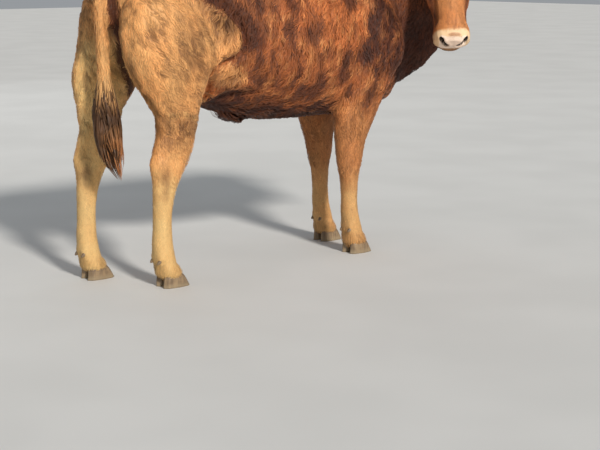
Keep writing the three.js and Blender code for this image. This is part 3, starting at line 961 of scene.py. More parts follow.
    def _find_shares(self) -> None:
        """Finds each region's share at each vertex, soft where regions meet."""
        nearest = [self.solids.find_nearest(point)[2] for point in self.sheet.points]
        region = np.array(self.face_region)[nearest]
        hard = np.eye(len(REGIONS))[region]
        self.soft = self.sheet.blurred(hard, self.share_rounds)
        self.shares = {region.name: self.soft[:, i] for i, region in enumerate(REGIONS)}

    def _smooth(self) -> None:
        """Takes the facets out, most on the broad parts and least on the head and legs."""
        finer = 1 + 2.0 * self.shares["head"] + 3.0 * self.shares["muzzle"]
        rounds = of_regions("smooth", self.soft) * finer
        for turn in range(int(rounds.max())):
            share = np.clip(rounds - turn, 0, 1)[:, None] * 0.5
            pull = self.sheet.neighbours(self.sheet.points) - self.sheet.points
            self.sheet.points += pull * share

    def _inset(self) -> None:
        """Sets the skin inside the solids by the depth of the coat."""
        depth = of_regions("depth", self.soft)
        for _ in range(2):
            normals = self.sheet.normals()
            lag = np.zeros(len(depth))
            for i, point in enumerate(self.sheet.points):
                place, _, _, distance = self.solids.find_nearest(point)
                inward = (point - np.array(place)) @ normals[i] < 0
                lag[i] = depth[i] - (distance if inward else -distance)
            lag = self.sheet.blurred(lag[:, None], self.inset_rounds)
            self.sheet.points -= normals * lag

    def _sculpt(self) -> None:
        """Shapes the muscles, folds and the face."""
        normals = self.sheet.normals()
        p = self.body.local(self.sheet.points)
        out = np.zeros(len(p))
        for side in BOTH:
            q = mirrored(p, side)
            out += 0.010 * ridge(q, [(-0.66, 0.10, 1.20), (-0.36, 0.22, 1.26)], 0.09)  # pin to hook
            out += 0.012 * lump(q, (-0.36, 0.225, 1.25), (0.07, 0.07, 0.06))  # hook bone
            out -= 0.012 * lump(q, (-0.22, 0.20, 1.20), (0.13, 0.12, 0.10))  # hollow of the flank
            out += 0.006 * lump(q, (0.43, 0.24, 1.02), (0.10, 0.12, 0.20))  # shoulder blade
            out -= 0.007 * ridge(q, [(0.31, 0.28, 0.72), (0.33, 0.27, 1.0), (0.42, 0.2, 1.2)], 0.05)
            for rib in range(6):
                x = 0.20 - 0.075 * rib
                line = [(x + 0.03, 0.22, 1.12), (x, 0.30, 0.95), (x - 0.015, 0.27, 0.76)]
                out += 0.0025 * ridge(q, line, 0.034)
        out += 0.008 * ridge(p, [(-0.50, 0, 1.30), (0.45, 0, 1.30)], 0.03)  # spine
        self._shape_stifle(p, out)
        out += 0.016 * lump(p, (-0.06, 0, 0.61), (0.05, 0.035, 0.05))  # navel
        out += 0.014 * lump(p, (-0.05, 0, 0.62), (0.36, 0.18, 0.12))  # belly
        brisket = [(0.80, -0.20, 1.10), (0.80, -0.09, 0.98), (0.74, -0.02, 0.84), (0.62, 0, 0.72),
                   (0.50, 0, 0.66)]
        out += 0.020 * ridge(p, brisket, 0.075)
        for side in BOTH:
            out -= 0.016 * ridge(p - (0, 0.11 * side, 0), brisket[1:4], 0.070)
            self._shape_legs(p, side, out)
        out += 0.0045 * ease(p[:, 2], 0.100, 0.086)  # the coronet spreads over the claws
        self.sheet.points += normals * out[:, None]
        self.sheet.points[:, 2] -= 0.012 * ease(p[:, 2], 0.120, 0.090)
        self._shape_face()

    def _shape_stifle(self, p: Array, out: Array) -> None:
        """Rounds the stifle over the flank, with the fold of skin under it.

        Args:
            p: The vertices, in the body's frame.
            out: How far each moves outwards, added to.
        """
        for side in BOTH:
            q = mirrored(p, side)
            out += 0.016 * ridge(q - (-0.030, 0, 0.008), THIGH_ARC[2:], 0.052)
            out -= 0.022 * ridge(q - (0.020, 0, 0), THIGH_ARC[1:], 0.030)
            out -= 0.013 * ridge(q, THIGH_CREASE, 0.020)
            out += 0.006 * ridge(q - (0.030, 0, 0.0), THIGH_CREASE, 0.026)
            out += 0.012 * ridge(q - (0, 0, 0.012), FLANK_FOLD, 0.034)
            under = ridge(q + (0, 0, 0.045), FLANK_FOLD, 0.060)
            out -= 0.018 * under * ease(p[:, 2], 0.765, 0.735)
            out += 0.005 * ridge(q, GASKIN_CURL, 0.013)
            out -= 0.004 * ridge(q + (0, 0, 0.016), GASKIN_CURL, 0.014)
        coated = ease(self.shares["trunk"] + self.shares["shoulder"], 0.4, 0.9)
        waves = Markings.crests(self.body.world(p)) - 0.5
        out += 0.0075 * waves * coated * ease(np.abs(p[:, 1]), 0.10, 0.20)
        out += 0.0042 * self.shares["thigh"] * Markings.combings(self.body.world(p))
        gaskin = lump(p, (-0.47, -0.19, 0.60), (0.14, 0.10, 0.10))
        gaskin = np.maximum(gaskin, lump(p, (-0.63, 0.19, 0.60), (0.14, 0.10, 0.10)))
        out += 0.0045 * gaskin * clouds(self.body.world(p), 0.022, 24)

    def _shape_legs(self, p: Array, side: int, out: Array) -> None:
        """Draws the tendons, hocks, knees and fetlocks of one side.

        Args:
            p: The vertices, in the body's frame.
            side: 1 for the left, -1 for the right.
            out: How far each moves outwards, added to.
        """
        q = mirrored(p, side) + (self.hind_stride * side, 0, 0)
        hollow = [(-0.63, 0.19, 0.62), (-0.655, 0.19, 0.52)]
        for offset in (0.0, -0.085):
            out -= 0.008 * ridge(q - (0, offset, 0), hollow, 0.028)  # before the hock's cord
        out += 0.006 * lump(q, (-0.70, 0.15, 0.51), (0.03, 0.03, 0.04))  # point of the hock
        for leg in ("hind", "fore"):
            box = [np.array(corner) for part in ("outer", "inner")
                   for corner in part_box(f"{leg}_{word(side)}_dewclaw_{part}")]
            behind = self.body.local(np.mean(box, 0)[None])[0]
            out += 0.006 * lump(p, behind + [0.030, 0, 0.022], (0.035, 0.045, 0.028))  # fetlock
            out -= 0.005 * lump(p, behind + [0.035, 0, -0.020], (0.045, 0.05, 0.016))  # pastern
            out += 0.004 * lump(p, behind + [0.045, 0, -0.042], (0.060, 0.06, 0.014))  # coronet
        q = mirrored(p, side) - (self.fore_stride * side, 0, 0)
        out += 0.004 * lump(q, (0.50, 0.145, 0.40), (0.03, 0.05, 0.05))  # knee
        out += 0.004 * lump(q, (0.40, 0.145, 0.395), (0.02, 0.04, 0.035))  # back of the knee

    def _shape_face(self) -> None:
        """Shapes the bones of the face, the sockets, the nostrils and the mouth."""
        normals = self.sheet.normals()
        points = self.head.local(self.sheet.points)
        out = np.zeros(len(points))
        for side in BOTH:
            q = mirrored(points, side)
            out += 0.008 * ridge(q, [(0.118, 0.098, -0.030), (0.160, 0.104, -0.018)], 0.030)  # brow
            out -= 0.008 * lump(q, (0.100, 0.112, -0.085), (0.04, 0.05, 0.035))  # temple
            out -= 0.006 * lump(q, (0.215, 0.100, -0.045), (0.045, 0.03, 0.03))  # before the eye
            out += 0.007 * ridge(q, [(0.20, 0.105, -0.090), (0.31, 0.084, -0.082)], 0.020)  # crest
            out -= 0.009 * ridge(q, [(0.25, 0.080, -0.045), (0.39, 0.066, -0.055)], 0.026)
            out += 0.006 * lump(q, (0.165, 0.095, -0.165), (0.08, 0.06, 0.07))  # cheek muscle
            out -= 0.012 * ridge(q, [(0.28, 0.080, -0.125), (0.38, 0.070, -0.115)], 0.034)
            out += 0.004 * ridge(q, [(0.20, 0.06, -0.235), (0.38, 0.05, -0.185)], 0.022)  # jaw bone
            out -= 0.006 * ridge(q, [(0.24, 0.085, -0.185), (0.34, 0.065, -0.160)], 0.022)
            out -= 0.004 * ridge(q, [(0.435, 0.06, -0.02), (0.440, 0.085, -0.06)], 0.016)
        out += 0.003 * lump(points, (0.10, 0, 0.0), (0.09, 0.07, 0.05))  # forehead
        out -= 0.0055 * Markings.lips(points)
        out -= 0.0025 * ridge(points, [(0.50, 0, -0.085), (0.49, 0, -0.112)], 0.010)  # philtrum
        points = points + (normals @ self.head.axes.T) * out[:, None]
        for nostril in NOSTRILS:
            points = self._open_nostril(points, nostril)
        for eye in EYES:
            points = self._open_eye(points, eye)
        self.sheet.points = self.head.world(self._cup_ears(points))

    def _cup_ears(self, points: Array) -> Array:
        """Hollows the side of each ear that faces forwards, within a rim.

        Args:
            points: The skin's vertices, in the head's frame.

        Returns:
            The vertices, moved. How deep in the hollow each is stays in cup.
        """
        self.sheet.points = self.head.world(points)
        normals = self.sheet.normals() @ self.head.axes.T
        self.cup = np.zeros(len(points))
        for side in BOTH:
            turn = np.radians(np.array(self.ear_turn) * [side, 1, side])
            axes = np.array(Euler(turn, "ZYX").to_matrix())
            local = (points - mirrored(self.ear_root, side)) @ axes
            along = local[:, 1] * side / self.ear_length
            half = np.interp(along, [0, 0.22, 0.5, 0.75, 1], [0.019, 0.033, 0.054, 0.042, 0.012])
            across = np.abs(local[:, 0]) / half
            front = ease(normals @ axes[:, 2], -0.1, 0.3) * (self.shares["ear"] > 0.3)
            front = front * ease(along, 0.04, 0.16) * (np.abs(local[:, 2]) < 0.06)
            inner = front * ease(across, 0.84, 0.45) * ease(along, 0.97, 0.80)
            rim = front * ease(across, 0.55, 0.80) * (1 - inner)
            depth = 0.0008 + 0.0070 * ease(along, 0.50, 0.15)  # the ear is thin past its middle
            points = points + axes[:, 2] * (0.0022 * rim - depth * inner)[:, None]
            self.cup += inner * (1 + ease(along, 0.70, 0.15))
        return points

    def _open_nostril(self, points: Array, nostril: Nostril) -> Array:
        """Hollows a nostril and raises its rim.

        Args:
            points: The skin's vertices, in the head's frame.
            nostril: Which nostril.

        Returns:
            The vertices, moved.
        """
        inner, around = nostril.reach(points), nostril.reach(points, 2.2)
        hole = ease(inner, 0.3, 0.72)
        rim = ease(around, 0.0, 0.5) * (1 - ease(inner, 0.0, 0.35))
        fold = nostril.reach(points - (0, 0.020 * nostril.side, -0.006), 0.9)
        inward = unit(np.array([-1.0, -0.35 * nostril.side, 0.0]))
        push = nostril.depth * hole - 0.0030 * rim + 0.0030 * fold * (1 - hole)
        return points + inward * push[:, None]

    def _open_eye(self, points: Array, eye: EyePlace) -> Array:
        """Draws the skin over the eyeball as lids, open in the middle.

        Args:
            points: The skin's vertices, in the head's frame.
            eye: Which eye.

        Returns:
            The vertices, moved.
        """
        u, v, w = eye.local(points).T
        away = np.hypot(u, v)
        near = (away < 0.040) & (w > 0) & (w < 0.05)
        lid_radius = eye.radius + eye.lid
        dome = np.sqrt((lid_radius**2 - np.minimum(away, lid_radius * 0.93) ** 2).clip(0))
        share = ease(away, 0.031, 0.017)
        w = np.where(near, w + (dome - w) * share, w)
        w = w + near * 0.0022 * np.exp(-(((eye.opening(u, v) - 1.75) / 0.22) ** 2)) * (v > -0.004)
        w = w - near * 0.0020 * np.exp(-(((eye.opening(u, v) - 1.42) / 0.16) ** 2))
        out = eye.opening(u, v)
        edge = near & (out > 0.90) & (out < 1.12)
        scale = np.where(edge, 1 / out.clip(0.5), 1.0)
        u, v = u * scale, v * scale
        w = np.where(near & (out <= 0.90), np.minimum(w, eye.radius * 0.72), w)
        moved = np.stack([u, v, w], 1) @ eye.axes() + eye.centre()
        return np.where(near[:, None], moved, points)

    def _store(self) -> None:
        """Writes the vertices and what the materials read back to the mesh."""
        mesh = self.piece.data
        mesh.vertices.foreach_set("co", self.sheet.points.ravel())
        mesh.update()
        mesh.shade_smooth()
        self.marks = Markings(self.body, self.head).at(self.sheet.points, self.shares)
        # The deepest part of each ear's hollow is painted dark: painted shade; its rim is pale hair.
        rim, hollow_shade = ease(self.cup, 0.02, 0.5), ease(self.cup, 1.0, 1.9)
        bare = (0.34 - 0.16 * hollow_shade) * ease(self.cup, 0.1, 0.9)
        ear = np.stack([0 * rim, 0.6 * rim * (1 - hollow_shade), 0.75 * hollow_shade, bare], 1)
        self.marks = most(self.marks, ear)
        put_attribute(mesh, "marks", self.marks)
        # The skin's tuft values, set to 0 in the nostrils so the shader paints them near black: painted
        # shade in the hollows.
        skin_tuft_with_nostril_shade = np.tile([0.25, 0.0, 0.5, 0.5], (len(self.marks), 1))
        place = self.head.local(self.sheet.points)
        for nostril in NOSTRILS:
            hole = ease(nostril.reach(place), 0.05, 0.26)
            skin_tuft_with_nostril_shade *= 1 - hole[:, None]
        put_attribute(mesh, "tuft", skin_tuft_with_nostril_shade)


# ---- the lie of the coat


class Lie:
    """Which way the hair lies, at any place on the animal."""

    def __init__(self, body: LocalFrame, head: LocalFrame) -> None:
        """Keeps the frames that the lie is worked out in."""
        self.body, self.head = body, head

    def at(self, points: Array, normals: Array, soft: Array, wander: Array) -> Array:
        """The direction of the hair along the skin.

        Args:
            points: Places on the skin.
            normals: The skin's outward direction at each.
            soft: Each region's share at each, in the order of REGIONS.
            wander: How far the lie strays at each, in radians.

        Returns:
            One direction a row, square to the normal.
        """
        ways = self._ways(points, normals)
        total = np.zeros_like(points)
        for i, region in enumerate(REGIONS):
            total += soft[:, i : i + 1] * unit(ways[region.name])
        total = unit(total - normals * dot(total, normals))
        swirl = clouds(points * (1, 1, 0.6), 0.055, 21) + 0.6 * clouds(points, 0.024, 22)
        angle = (wander * swirl * 1.25)[:, None]
        return total * np.cos(angle) + np.cross(normals, total) * np.sin(angle)

    def _ways(self, points: Array, normals: Array) -> dict:
        """The way that the hair of each region lies.

        Args:
            points: Places on the skin.
            normals: The skin's outward direction at each.

        Returns:
            Directions by the regions' names: one for each place, or one for all.
        """
        x = self.body.local(points)[:, 0]
        along, side, out = self.head.local(points).T
        level = np.abs(normals[:, 2])
        none, apart = 0 * level, np.sign(side)
        forward = 0.75 * ease(x, -0.74, -0.62) * ease(x, -0.30, -0.46)
        top = ease(out, -0.06, -0.01)  # of the head
        down = (ease(along, 0.085, 0.125) * 2 - 1) * top + (1 - top)
        whorl = apart * np.exp(-((along - 0.1) / 0.03) ** 2) * top
        over = ease(points[:, 2], 1.20, 1.26)  # the tail head
        turned = self.head.turned
        return {
            "trunk": np.stack([-0.22 - 0.78 * level**1.5, none, level**2 - 1], 1),
            "neck": np.array([[-0.45, 0.15, -1.0]]),
            "shoulder": np.array([[-0.3, 0.0, -1.0]]),
            "thigh": np.stack([forward, none, none - 1], 1),
            "hock": np.array([[0.15, 0.0, -1.0]]),
            "forearm": np.array([[-0.12, 0.0, -1.0]]),
            "cannon": np.array([[-0.1, 0.0, -1.0]]),
            "head": turned(np.stack([down, whorl, -0.35 * (1 - top)], 1)),
            "muzzle": turned([[1.0, 0.0, -0.3]]),
            "ear": turned(np.stack([none - 0.25, apart, none], 1)),
            "tail": np.stack([-over, none, over - 1.15], 1),
        }


# ---- strands


@dataclass(frozen=True)
class StrandSet:
    """Many closed, tapering strands that make one mesh.

    Each has the same number of places along it, the last of them its tip.
    """

    paths: Array  # strand, place, xyz
    sides: Array  # strand, place, xyz: across the strand and along the skin
    widths: Array  # strand, place
    thickness: float  # of the strand, as a share of its width
    around: int  # corners of its section
    matted: float = 0.68  # how far its shading follows the coat rather than its own round

    def mesh(self, name: str, roots: Array, marks: Array, shades: Array, spread: float) -> Mesh:
        """Builds the mesh with its bake map and attributes.

        Args:
            name: The mesh's name.
            roots: Each root's place on the unwrap of the skin, from 0 to 1.
            marks: Each strand's markings, or those at each place along it.
            shades: Each strand's own two shades.
            spread: How wide each strand's patch of the bake map is.

        Returns:
            The mesh.
        """
        count, places, _ = self.paths.shape
        along = unit(np.gradient(self.paths, axis=1))
        side = unit(self.sides - along * dot(self.sides, along))
        rise = np.cross(along, side)
        rings = places - 1
        turn = 2 * np.pi * (np.arange(self.around) / self.around) + np.pi / 2
        half = (self.widths[:, :rings] / 2)[:, :, None, None]
        sideways = side[:, :rings, None] * np.cos(turn)[:, None]
        upwards = rise[:, :rings, None] * np.sin(turn)[:, None]
        ring = self.paths[:, :rings, None] + (sideways + upwards * self.thickness) * half
        block = np.concatenate([ring.reshape(count, -1, 3), self.paths[:, -1:]], 1)
        each = block.shape[1]
        loops, totals, under = self._faces(rings, each)
        mesh = bpy.data.meshes.new(name)
        mesh.vertices.add(count * each)
        mesh.vertices.foreach_set("co", block.astype(np.float32).ravel())
        all_loops = (loops[None] + (np.arange(count) * each)[:, None]).ravel()
        mesh.loops.add(len(all_loops))
        mesh.loops.foreach_set("vertex_index", all_loops.astype(np.int32))
        starts = np.concatenate([[0], np.cumsum(totals)[:-1]])
        all_starts = (starts[None] + (np.arange(count) * len(loops))[:, None]).ravel()
        mesh.polygons.add(len(all_starts))
        mesh.polygons.foreach_set("loop_start", all_starts.astype(np.int32))
        mesh.update()
        mesh.shade_smooth()
        own = sideways + upwards
        facing = unit(own * (1 - self.matted) + rise[:, :rings, None] * self.matted)
        facing = np.concatenate([facing.reshape(count, -1, 3), rise[:, -1:]], 1)
        own = np.concatenate([own.reshape(count, -1, 3), along[:, -1:]], 1)
        facing = np.where(under[None, :, None], own[:, loops], facing[:, loops])
        mesh.normals_split_custom_set(facing.reshape(-1, 3).tolist())
        place = np.append(np.repeat(np.arange(rings) / rings, self.around), 1.0)
        across = np.append(np.tile(np.cos(turn), rings), 0.0)
        self._map(mesh, roots, all_loops, place, across, spread)
        tuft = np.zeros((count, each, 4))
        tuft[..., 0], tuft[..., 1] = place, across * 0.5 + 0.5
        tuft[..., 2:] = shades[:, None]
        put_attribute(mesh, "tuft", tuft.reshape(-1, 4))
        if marks.ndim == 2:
            marks = np.repeat(marks[:, None], places, 1)
        marks = np.concatenate([np.repeat(marks[:, :rings], self.around, 1), marks[:, -1:]], 1)
        put_attribute(mesh, "marks", marks.reshape(-1, 4))
        return mesh

    def _faces(self, rings: int, each: int) -> tuple:
        """One strand's faces: a closed root, its walls and its tip.

        Args:
            rings: How many sections it has.
            each: How many vertices.

        Returns:
            The corners of all faces in a row, how many each face has, and which corners are
            of faces that look down at the skin.
        """
        n = self.around
        faces = [list(range(n))[::-1]]
        for ring in range(rings):
            for step in range(n):
                a, b = ring * n + step, ring * n + (step + 1) % n
                faces.append([a, b, b + n, a + n] if ring < rings - 1 else [a, b, each - 1])
        low = [math.sin(2 * math.pi * (step + 0.5) / n + math.pi / 2) < -0.2 for step in range(n)]
        under = [False] + low * rings
        sizes = [len(face) for face in faces]
        return np.array(sum(faces, [])), np.array(sizes), np.repeat(under, sizes)

    def _map(self, mesh: Mesh, roots: Array, loops: Array, place: Array, across: Array,
             spread: float) -> None:
        """Lays each strand on its own patch at its root's place.

        Args:
            mesh: The mesh.
            roots: Each root's place on the unwrap.
            loops: The vertex of each face corner.
            place: How far along its strand each of its vertices is.
            across: How far to its side.
            spread: How wide a patch is.
        """
        own = np.stack([across * 0.5, place - 0.5], 1) * spread
        at = np.clip(roots[:, None] + own[None], 0, 1).reshape(-1, 2)
        layer = mesh.uv_layers.new(name=BAKE_MAP)
        layer.data.foreach_set("uv", at[loops].astype(np.float32).ravel())


# ---- the coat


@dataclass
class CoatPiece:
    """One piece of the coat: where it grows, and the axis that its unwrap turns round."""

    name: str
    regions: tuple
    slot: Slot
    places: int = 4  # along each tuft
    side: int = 0  # 1 or -1 keeps one side of the animal
    reach: tuple = (-9.0, 9.0)  # along x


class Coat:
    """The coat: tufts over the skin that follow its lie."""

    patch: float = 0.003  # how wide each tuft's place on the bake map is

    def __init__(self, skin: Skin, lie: Lie, share: float = 1.0, seed: int = 11) -> None:
        """Makes ready to grow hair on the skin.

        Args:
            skin: The finished skin.
            lie: The lie of the coat.
            share: How much of the coat is grown.
            seed: Fixes the random numbers.
        """
        self.skin, self.lie, self.share = skin, lie, share
        self.random = np.random.default_rng(seed)
        self.points = skin.sheet.points
        self.normals = skin.sheet.normals()
        self.tree = KDTree(len(self.points))
        for i, point in enumerate(self.points):
            self.tree.insert(point, i)
        self.tree.balance()
        self._plant()

    def _plant(self) -> None:
        """Draws the roots over the whole skin, as thickly as each region asks."""
        triangles, areas = self.skin.sheet.triangles, self.skin.sheet.areas()
        density = of_regions("per_area", self.skin.soft)
        bare = self.skin.marks[:, 3] + self._bare()
        density = density * ease(bare, 0.6, 0.2) * self.share
        expected = density[triangles].mean(1) * areas
        count = np.floor(expected + self.random.random(len(expected))).astype(int)
        chosen = np.repeat(np.arange(len(triangles)), count)
        a, b = self.random.random((2, len(chosen)))
        flip = a + b > 1
        a, b = np.where(flip, 1 - a, a), np.where(flip, 1 - b, b)
        weights = np.stack([1 - a - b, a, b], 1)
        corners = triangles[chosen]

        def mixed(values: Array) -> Array:
            """Values at the roots from those at the skin's vertices."""
            return (values[corners] * weights[..., None]).sum(1)

        self.roots = mixed(self.points)
        self.root_normals = unit(mixed(self.normals))
        self.soft = mixed(self.skin.soft)
        self.marks = mixed(self.skin.marks)

    def _bare(self) -> Array:
        """Where no hair grows: the eyes' openings and the nostrils.

        Returns:
            From 0 to 1 and over, for each of the skin's vertices.
        """
        p = self.skin.head.local(self.points)
        bare = np.zeros(len(p))
        for eye in EYES:
            u, v, w = eye.local(p).T
            bare += (w > 0) * (w < 0.05) * ease(eye.opening(u, v), 1.5, 1.25)
        for nostril in NOSTRILS:
            bare += ease(nostril.reach(p, 1.9), 0.0, 0.25)
        return bare

    def comb(self) -> None:
        """Works out each tuft's length, width, lie and clump."""
        n = len(self.roots)
        p = self.skin.body.local(self.roots)
        h = self.skin.head.local(self.roots)
        self.length = of_regions("length", self.soft) * self.random.uniform(0.7, 1.25, n)
        self.width = of_regions("width", self.soft) * self.random.uniform(0.7, 1.2, n)
        self.lift = of_regions("lift", self.soft) * self.random.uniform(0.25, 1.0, n)
        self.wave = of_regions("wave", self.soft) * self.random.uniform(0.4, 1.3, n)
        self.clump = of_regions("clump", self.soft)
        wander = of_regions("wander", self.soft)
        face = self.soft[:, [region.name for region in REGIONS].index("head")]
        poll = face * ease(h[:, 0], 0.10, 0.02) * ease(h[:, 2], -0.12, -0.04)
        self.length += 0.022 * poll
        self.lift += 0.005 * poll
        gaskin = ease(np.abs(p[:, 2] - 0.62), 0.16, 0.02) * (p[:, 0] < -0.3)
        wander = wander + 0.5 * gaskin + 0.7 * poll
        self.wave += 0.002 * gaskin
        crown = ease(p[:, 2], 0.110, 0.092)
        self.length += 0.016 * crown
        self.lift += 0.003 * crown
        belly = ease(p[:, 2], 0.70, 0.62) * (np.abs(p[:, 0] + 0.06) < 0.5)
        belly = belly * (np.abs(p[:, 1]) < 0.25) * ease(self.root_normals[:, 2], 0.0, -0.6)
        navel = ease(lump(p, (-0.10, -0.01, 0.62), (0.09, 0.08, 0.08)), 0.1, 0.6)
        self.length += 0.014 * belly + 0.030 * navel
        self.lift += 0.008 * belly + 0.026 * navel
        self.along = self.lie.at(self.roots, self.root_normals, self.soft, wander)
        self._find_clumps()

    def _find_clumps(self, size: float = 0.030) -> None:
        """Finds the middle of the lock that each tuft belongs to.

        Args:
            size: How far locks stand from one another.
        """
        stretched = np.array([1.0, 1.0, 0.55])
        scaled = self.roots * stretched / size
        cell = np.floor(scaled).astype(np.int64)
        best = np.full(len(scaled), np.inf)
        self.centre = np.zeros_like(scaled)
        self.clump_shade = np.zeros(len(scaled))
        for step in np.ndindex(3, 3, 3):
            other = cell + np.array(step) - 1
            spot = other + np.stack([scatter(other, seed) for seed in (31, 32, 33)], 1)
            far = ((spot - scaled) ** 2).sum(1)
            nearer = far < best
            best[nearer] = far[nearer]
            self.centre[nearer] = spot[nearer] * size / stretched
            self.clump_shade[nearer] = scatter(other, 34)[nearer]
        self.near_centre = np.exp(-best * 2.2)

    def paths(self, chosen: Array, places: int) -> tuple:
        """The lines that tufts follow, each bent over the skin beneath it.

        Args:
            chosen: Which roots.
            places: How many places along each tuft.

        Returns:
            The lines, and the direction across each at every place.
        """
        root, normal, along = self.roots[chosen], self.root_normals[chosen], self.along[chosen]
        across = np.cross(normal, along)
        length, lift = self.length[chosen, None], self.lift[chosen, None]
        pull = self.centre[chosen] - root
        pull = across * dot(pull, across) * self.clump[chosen, None]
        phase = self.random.uniform(0, 2 * np.pi, (len(root), 1))
        turns = self.random.uniform(0.7, 1.25, (len(root), 1)) * 2 * np.pi
        spray = self.random.uniform(-0.18, 0.18, (len(root), 1)) * length
        steps = np.linspace(0, 1, places)
        line = np.zeros((len(root), places, 3))
        sides = np.zeros_like(line)
        raised = lift * (0.75 + 0.5 * self.near_centre[chosen, None])
        for i, t in enumerate(steps):
            swing = self.wave[chosen, None] * (np.sin(phase + turns * t) - np.sin(phase))
            place = root + along * length * t + across * (swing + spray * t * t) + pull * t**1.4
            if i:
                near = np.array([self.tree.find(spot)[1] for spot in place])
                down = self.normals[near]
                place = place - down * dot(place - self.points[near], down)
            else:
                down = normal
            arch = math.sin(math.pi * min(t * 1.15, 1.0)) ** 0.8 * 0.85 + 0.12 * t
            height = raised * arch - 0.0015 * (1 - t) ** 6  # the root is sunk in the skin
            line[:, i] = place + down * height
            sides[:, i] = across
        return line, sides

    def grow(self, piece: CoatPiece) -> Object:
        """Makes one piece of the coat.

        Args:
            piece: Which piece.

        Returns:
            Its object.
        """
        main = np.array([region.name for region in REGIONS])[self.soft.argmax(1)]
        p = self.skin.body.local(self.roots)
        keep = np.isin(main, piece.regions)
        keep &= (p[:, 0] >= piece.reach[0]) & (p[:, 0] < piece.reach[1])
        if piece.side:
            keep &= np.where(p[:, 1] >= 0, 1, -1) == piece.side
        chosen = np.flatnonzero(keep)
        line, sides = self.paths(chosen, piece.places)
        taper = np.interp(np.linspace(0, 1, piece.places), [0, 0.35, 0.75, 1], [0.75, 1.0, 0.72, 0.2])
        widths = self.width[chosen, None] * taper[None]
        strands = StrandSet(line, sides, widths, 0.24, 3)
        shades = np.stack([self.random.random(len(chosen)), self.clump_shade[chosen]], 1)
        roots = self._unwrap(chosen)
        mesh = strands.mesh(piece.name, roots, self.marks[chosen], shades, self.patch)
        return new_object(piece.name, mesh)

    def _unwrap(self, chosen: Array) -> Array:
        """The roots' places on an unwrap of their part of the skin, rolled off round its long axis.

        Args:
            chosen: Which roots.

        Returns:
            Two numbers from 0 to 1 for each root.
        """
        points = self.roots[chosen]
        away = points - points.mean(0)
        step = max(1, len(points) // 4000)
        _, _, axes = np.linalg.svd(away[::step], full_matrices=False)
        local = away @ axes.T
        angle = np.arctan2(local[:, 2], local[:, 1])
        order = np.argsort(np.argsort(angle)) / max(len(angle) - 1, 1)
        height = (local[:, 0] - local[:, 0].min()) / np.ptp(local[:, 0])
        return np.stack([order, height], 1) * 0.98 + 0.01


COAT_PIECES = (
    CoatPiece("coat_rump_left", ("trunk",), Slot.RED, side=1, reach=(-9.0, -0.12)),
    CoatPiece("coat_rump_right", ("trunk",), Slot.RED, side=-1, reach=(-9.0, -0.12)),
    CoatPiece("coat_ribs_left", ("trunk",), Slot.RED, side=1, reach=(-0.12, 9.0)),
    CoatPiece("coat_ribs_right", ("trunk",), Slot.RED, side=-1, reach=(-0.12, 9.0)),
    CoatPiece("coat_neck", ("neck",), Slot.RED),
    CoatPiece("coat_shoulders", ("shoulder",), Slot.RED),
    CoatPiece("coat_thigh_left", ("thigh",), Slot.GOLD, side=1),
    CoatPiece("coat_thigh_right", ("thigh",), Slot.GOLD, side=-1),
    CoatPiece("coat_hocks", ("hock",), Slot.CREAM, places=3),
    CoatPiece("coat_forearms", ("forearm",), Slot.GOLD),
    CoatPiece("coat_cannons", ("cannon",), Slot.CREAM, places=3),
    CoatPiece("coat_head", ("head", "muzzle"), Slot.RED, places=3),
    CoatPiece("coat_ears", ("ear",), Slot.RED, places=3),
    CoatPiece("coat_tail", ("tail",), Slot.GOLD),
)


# ---- the tail's switch


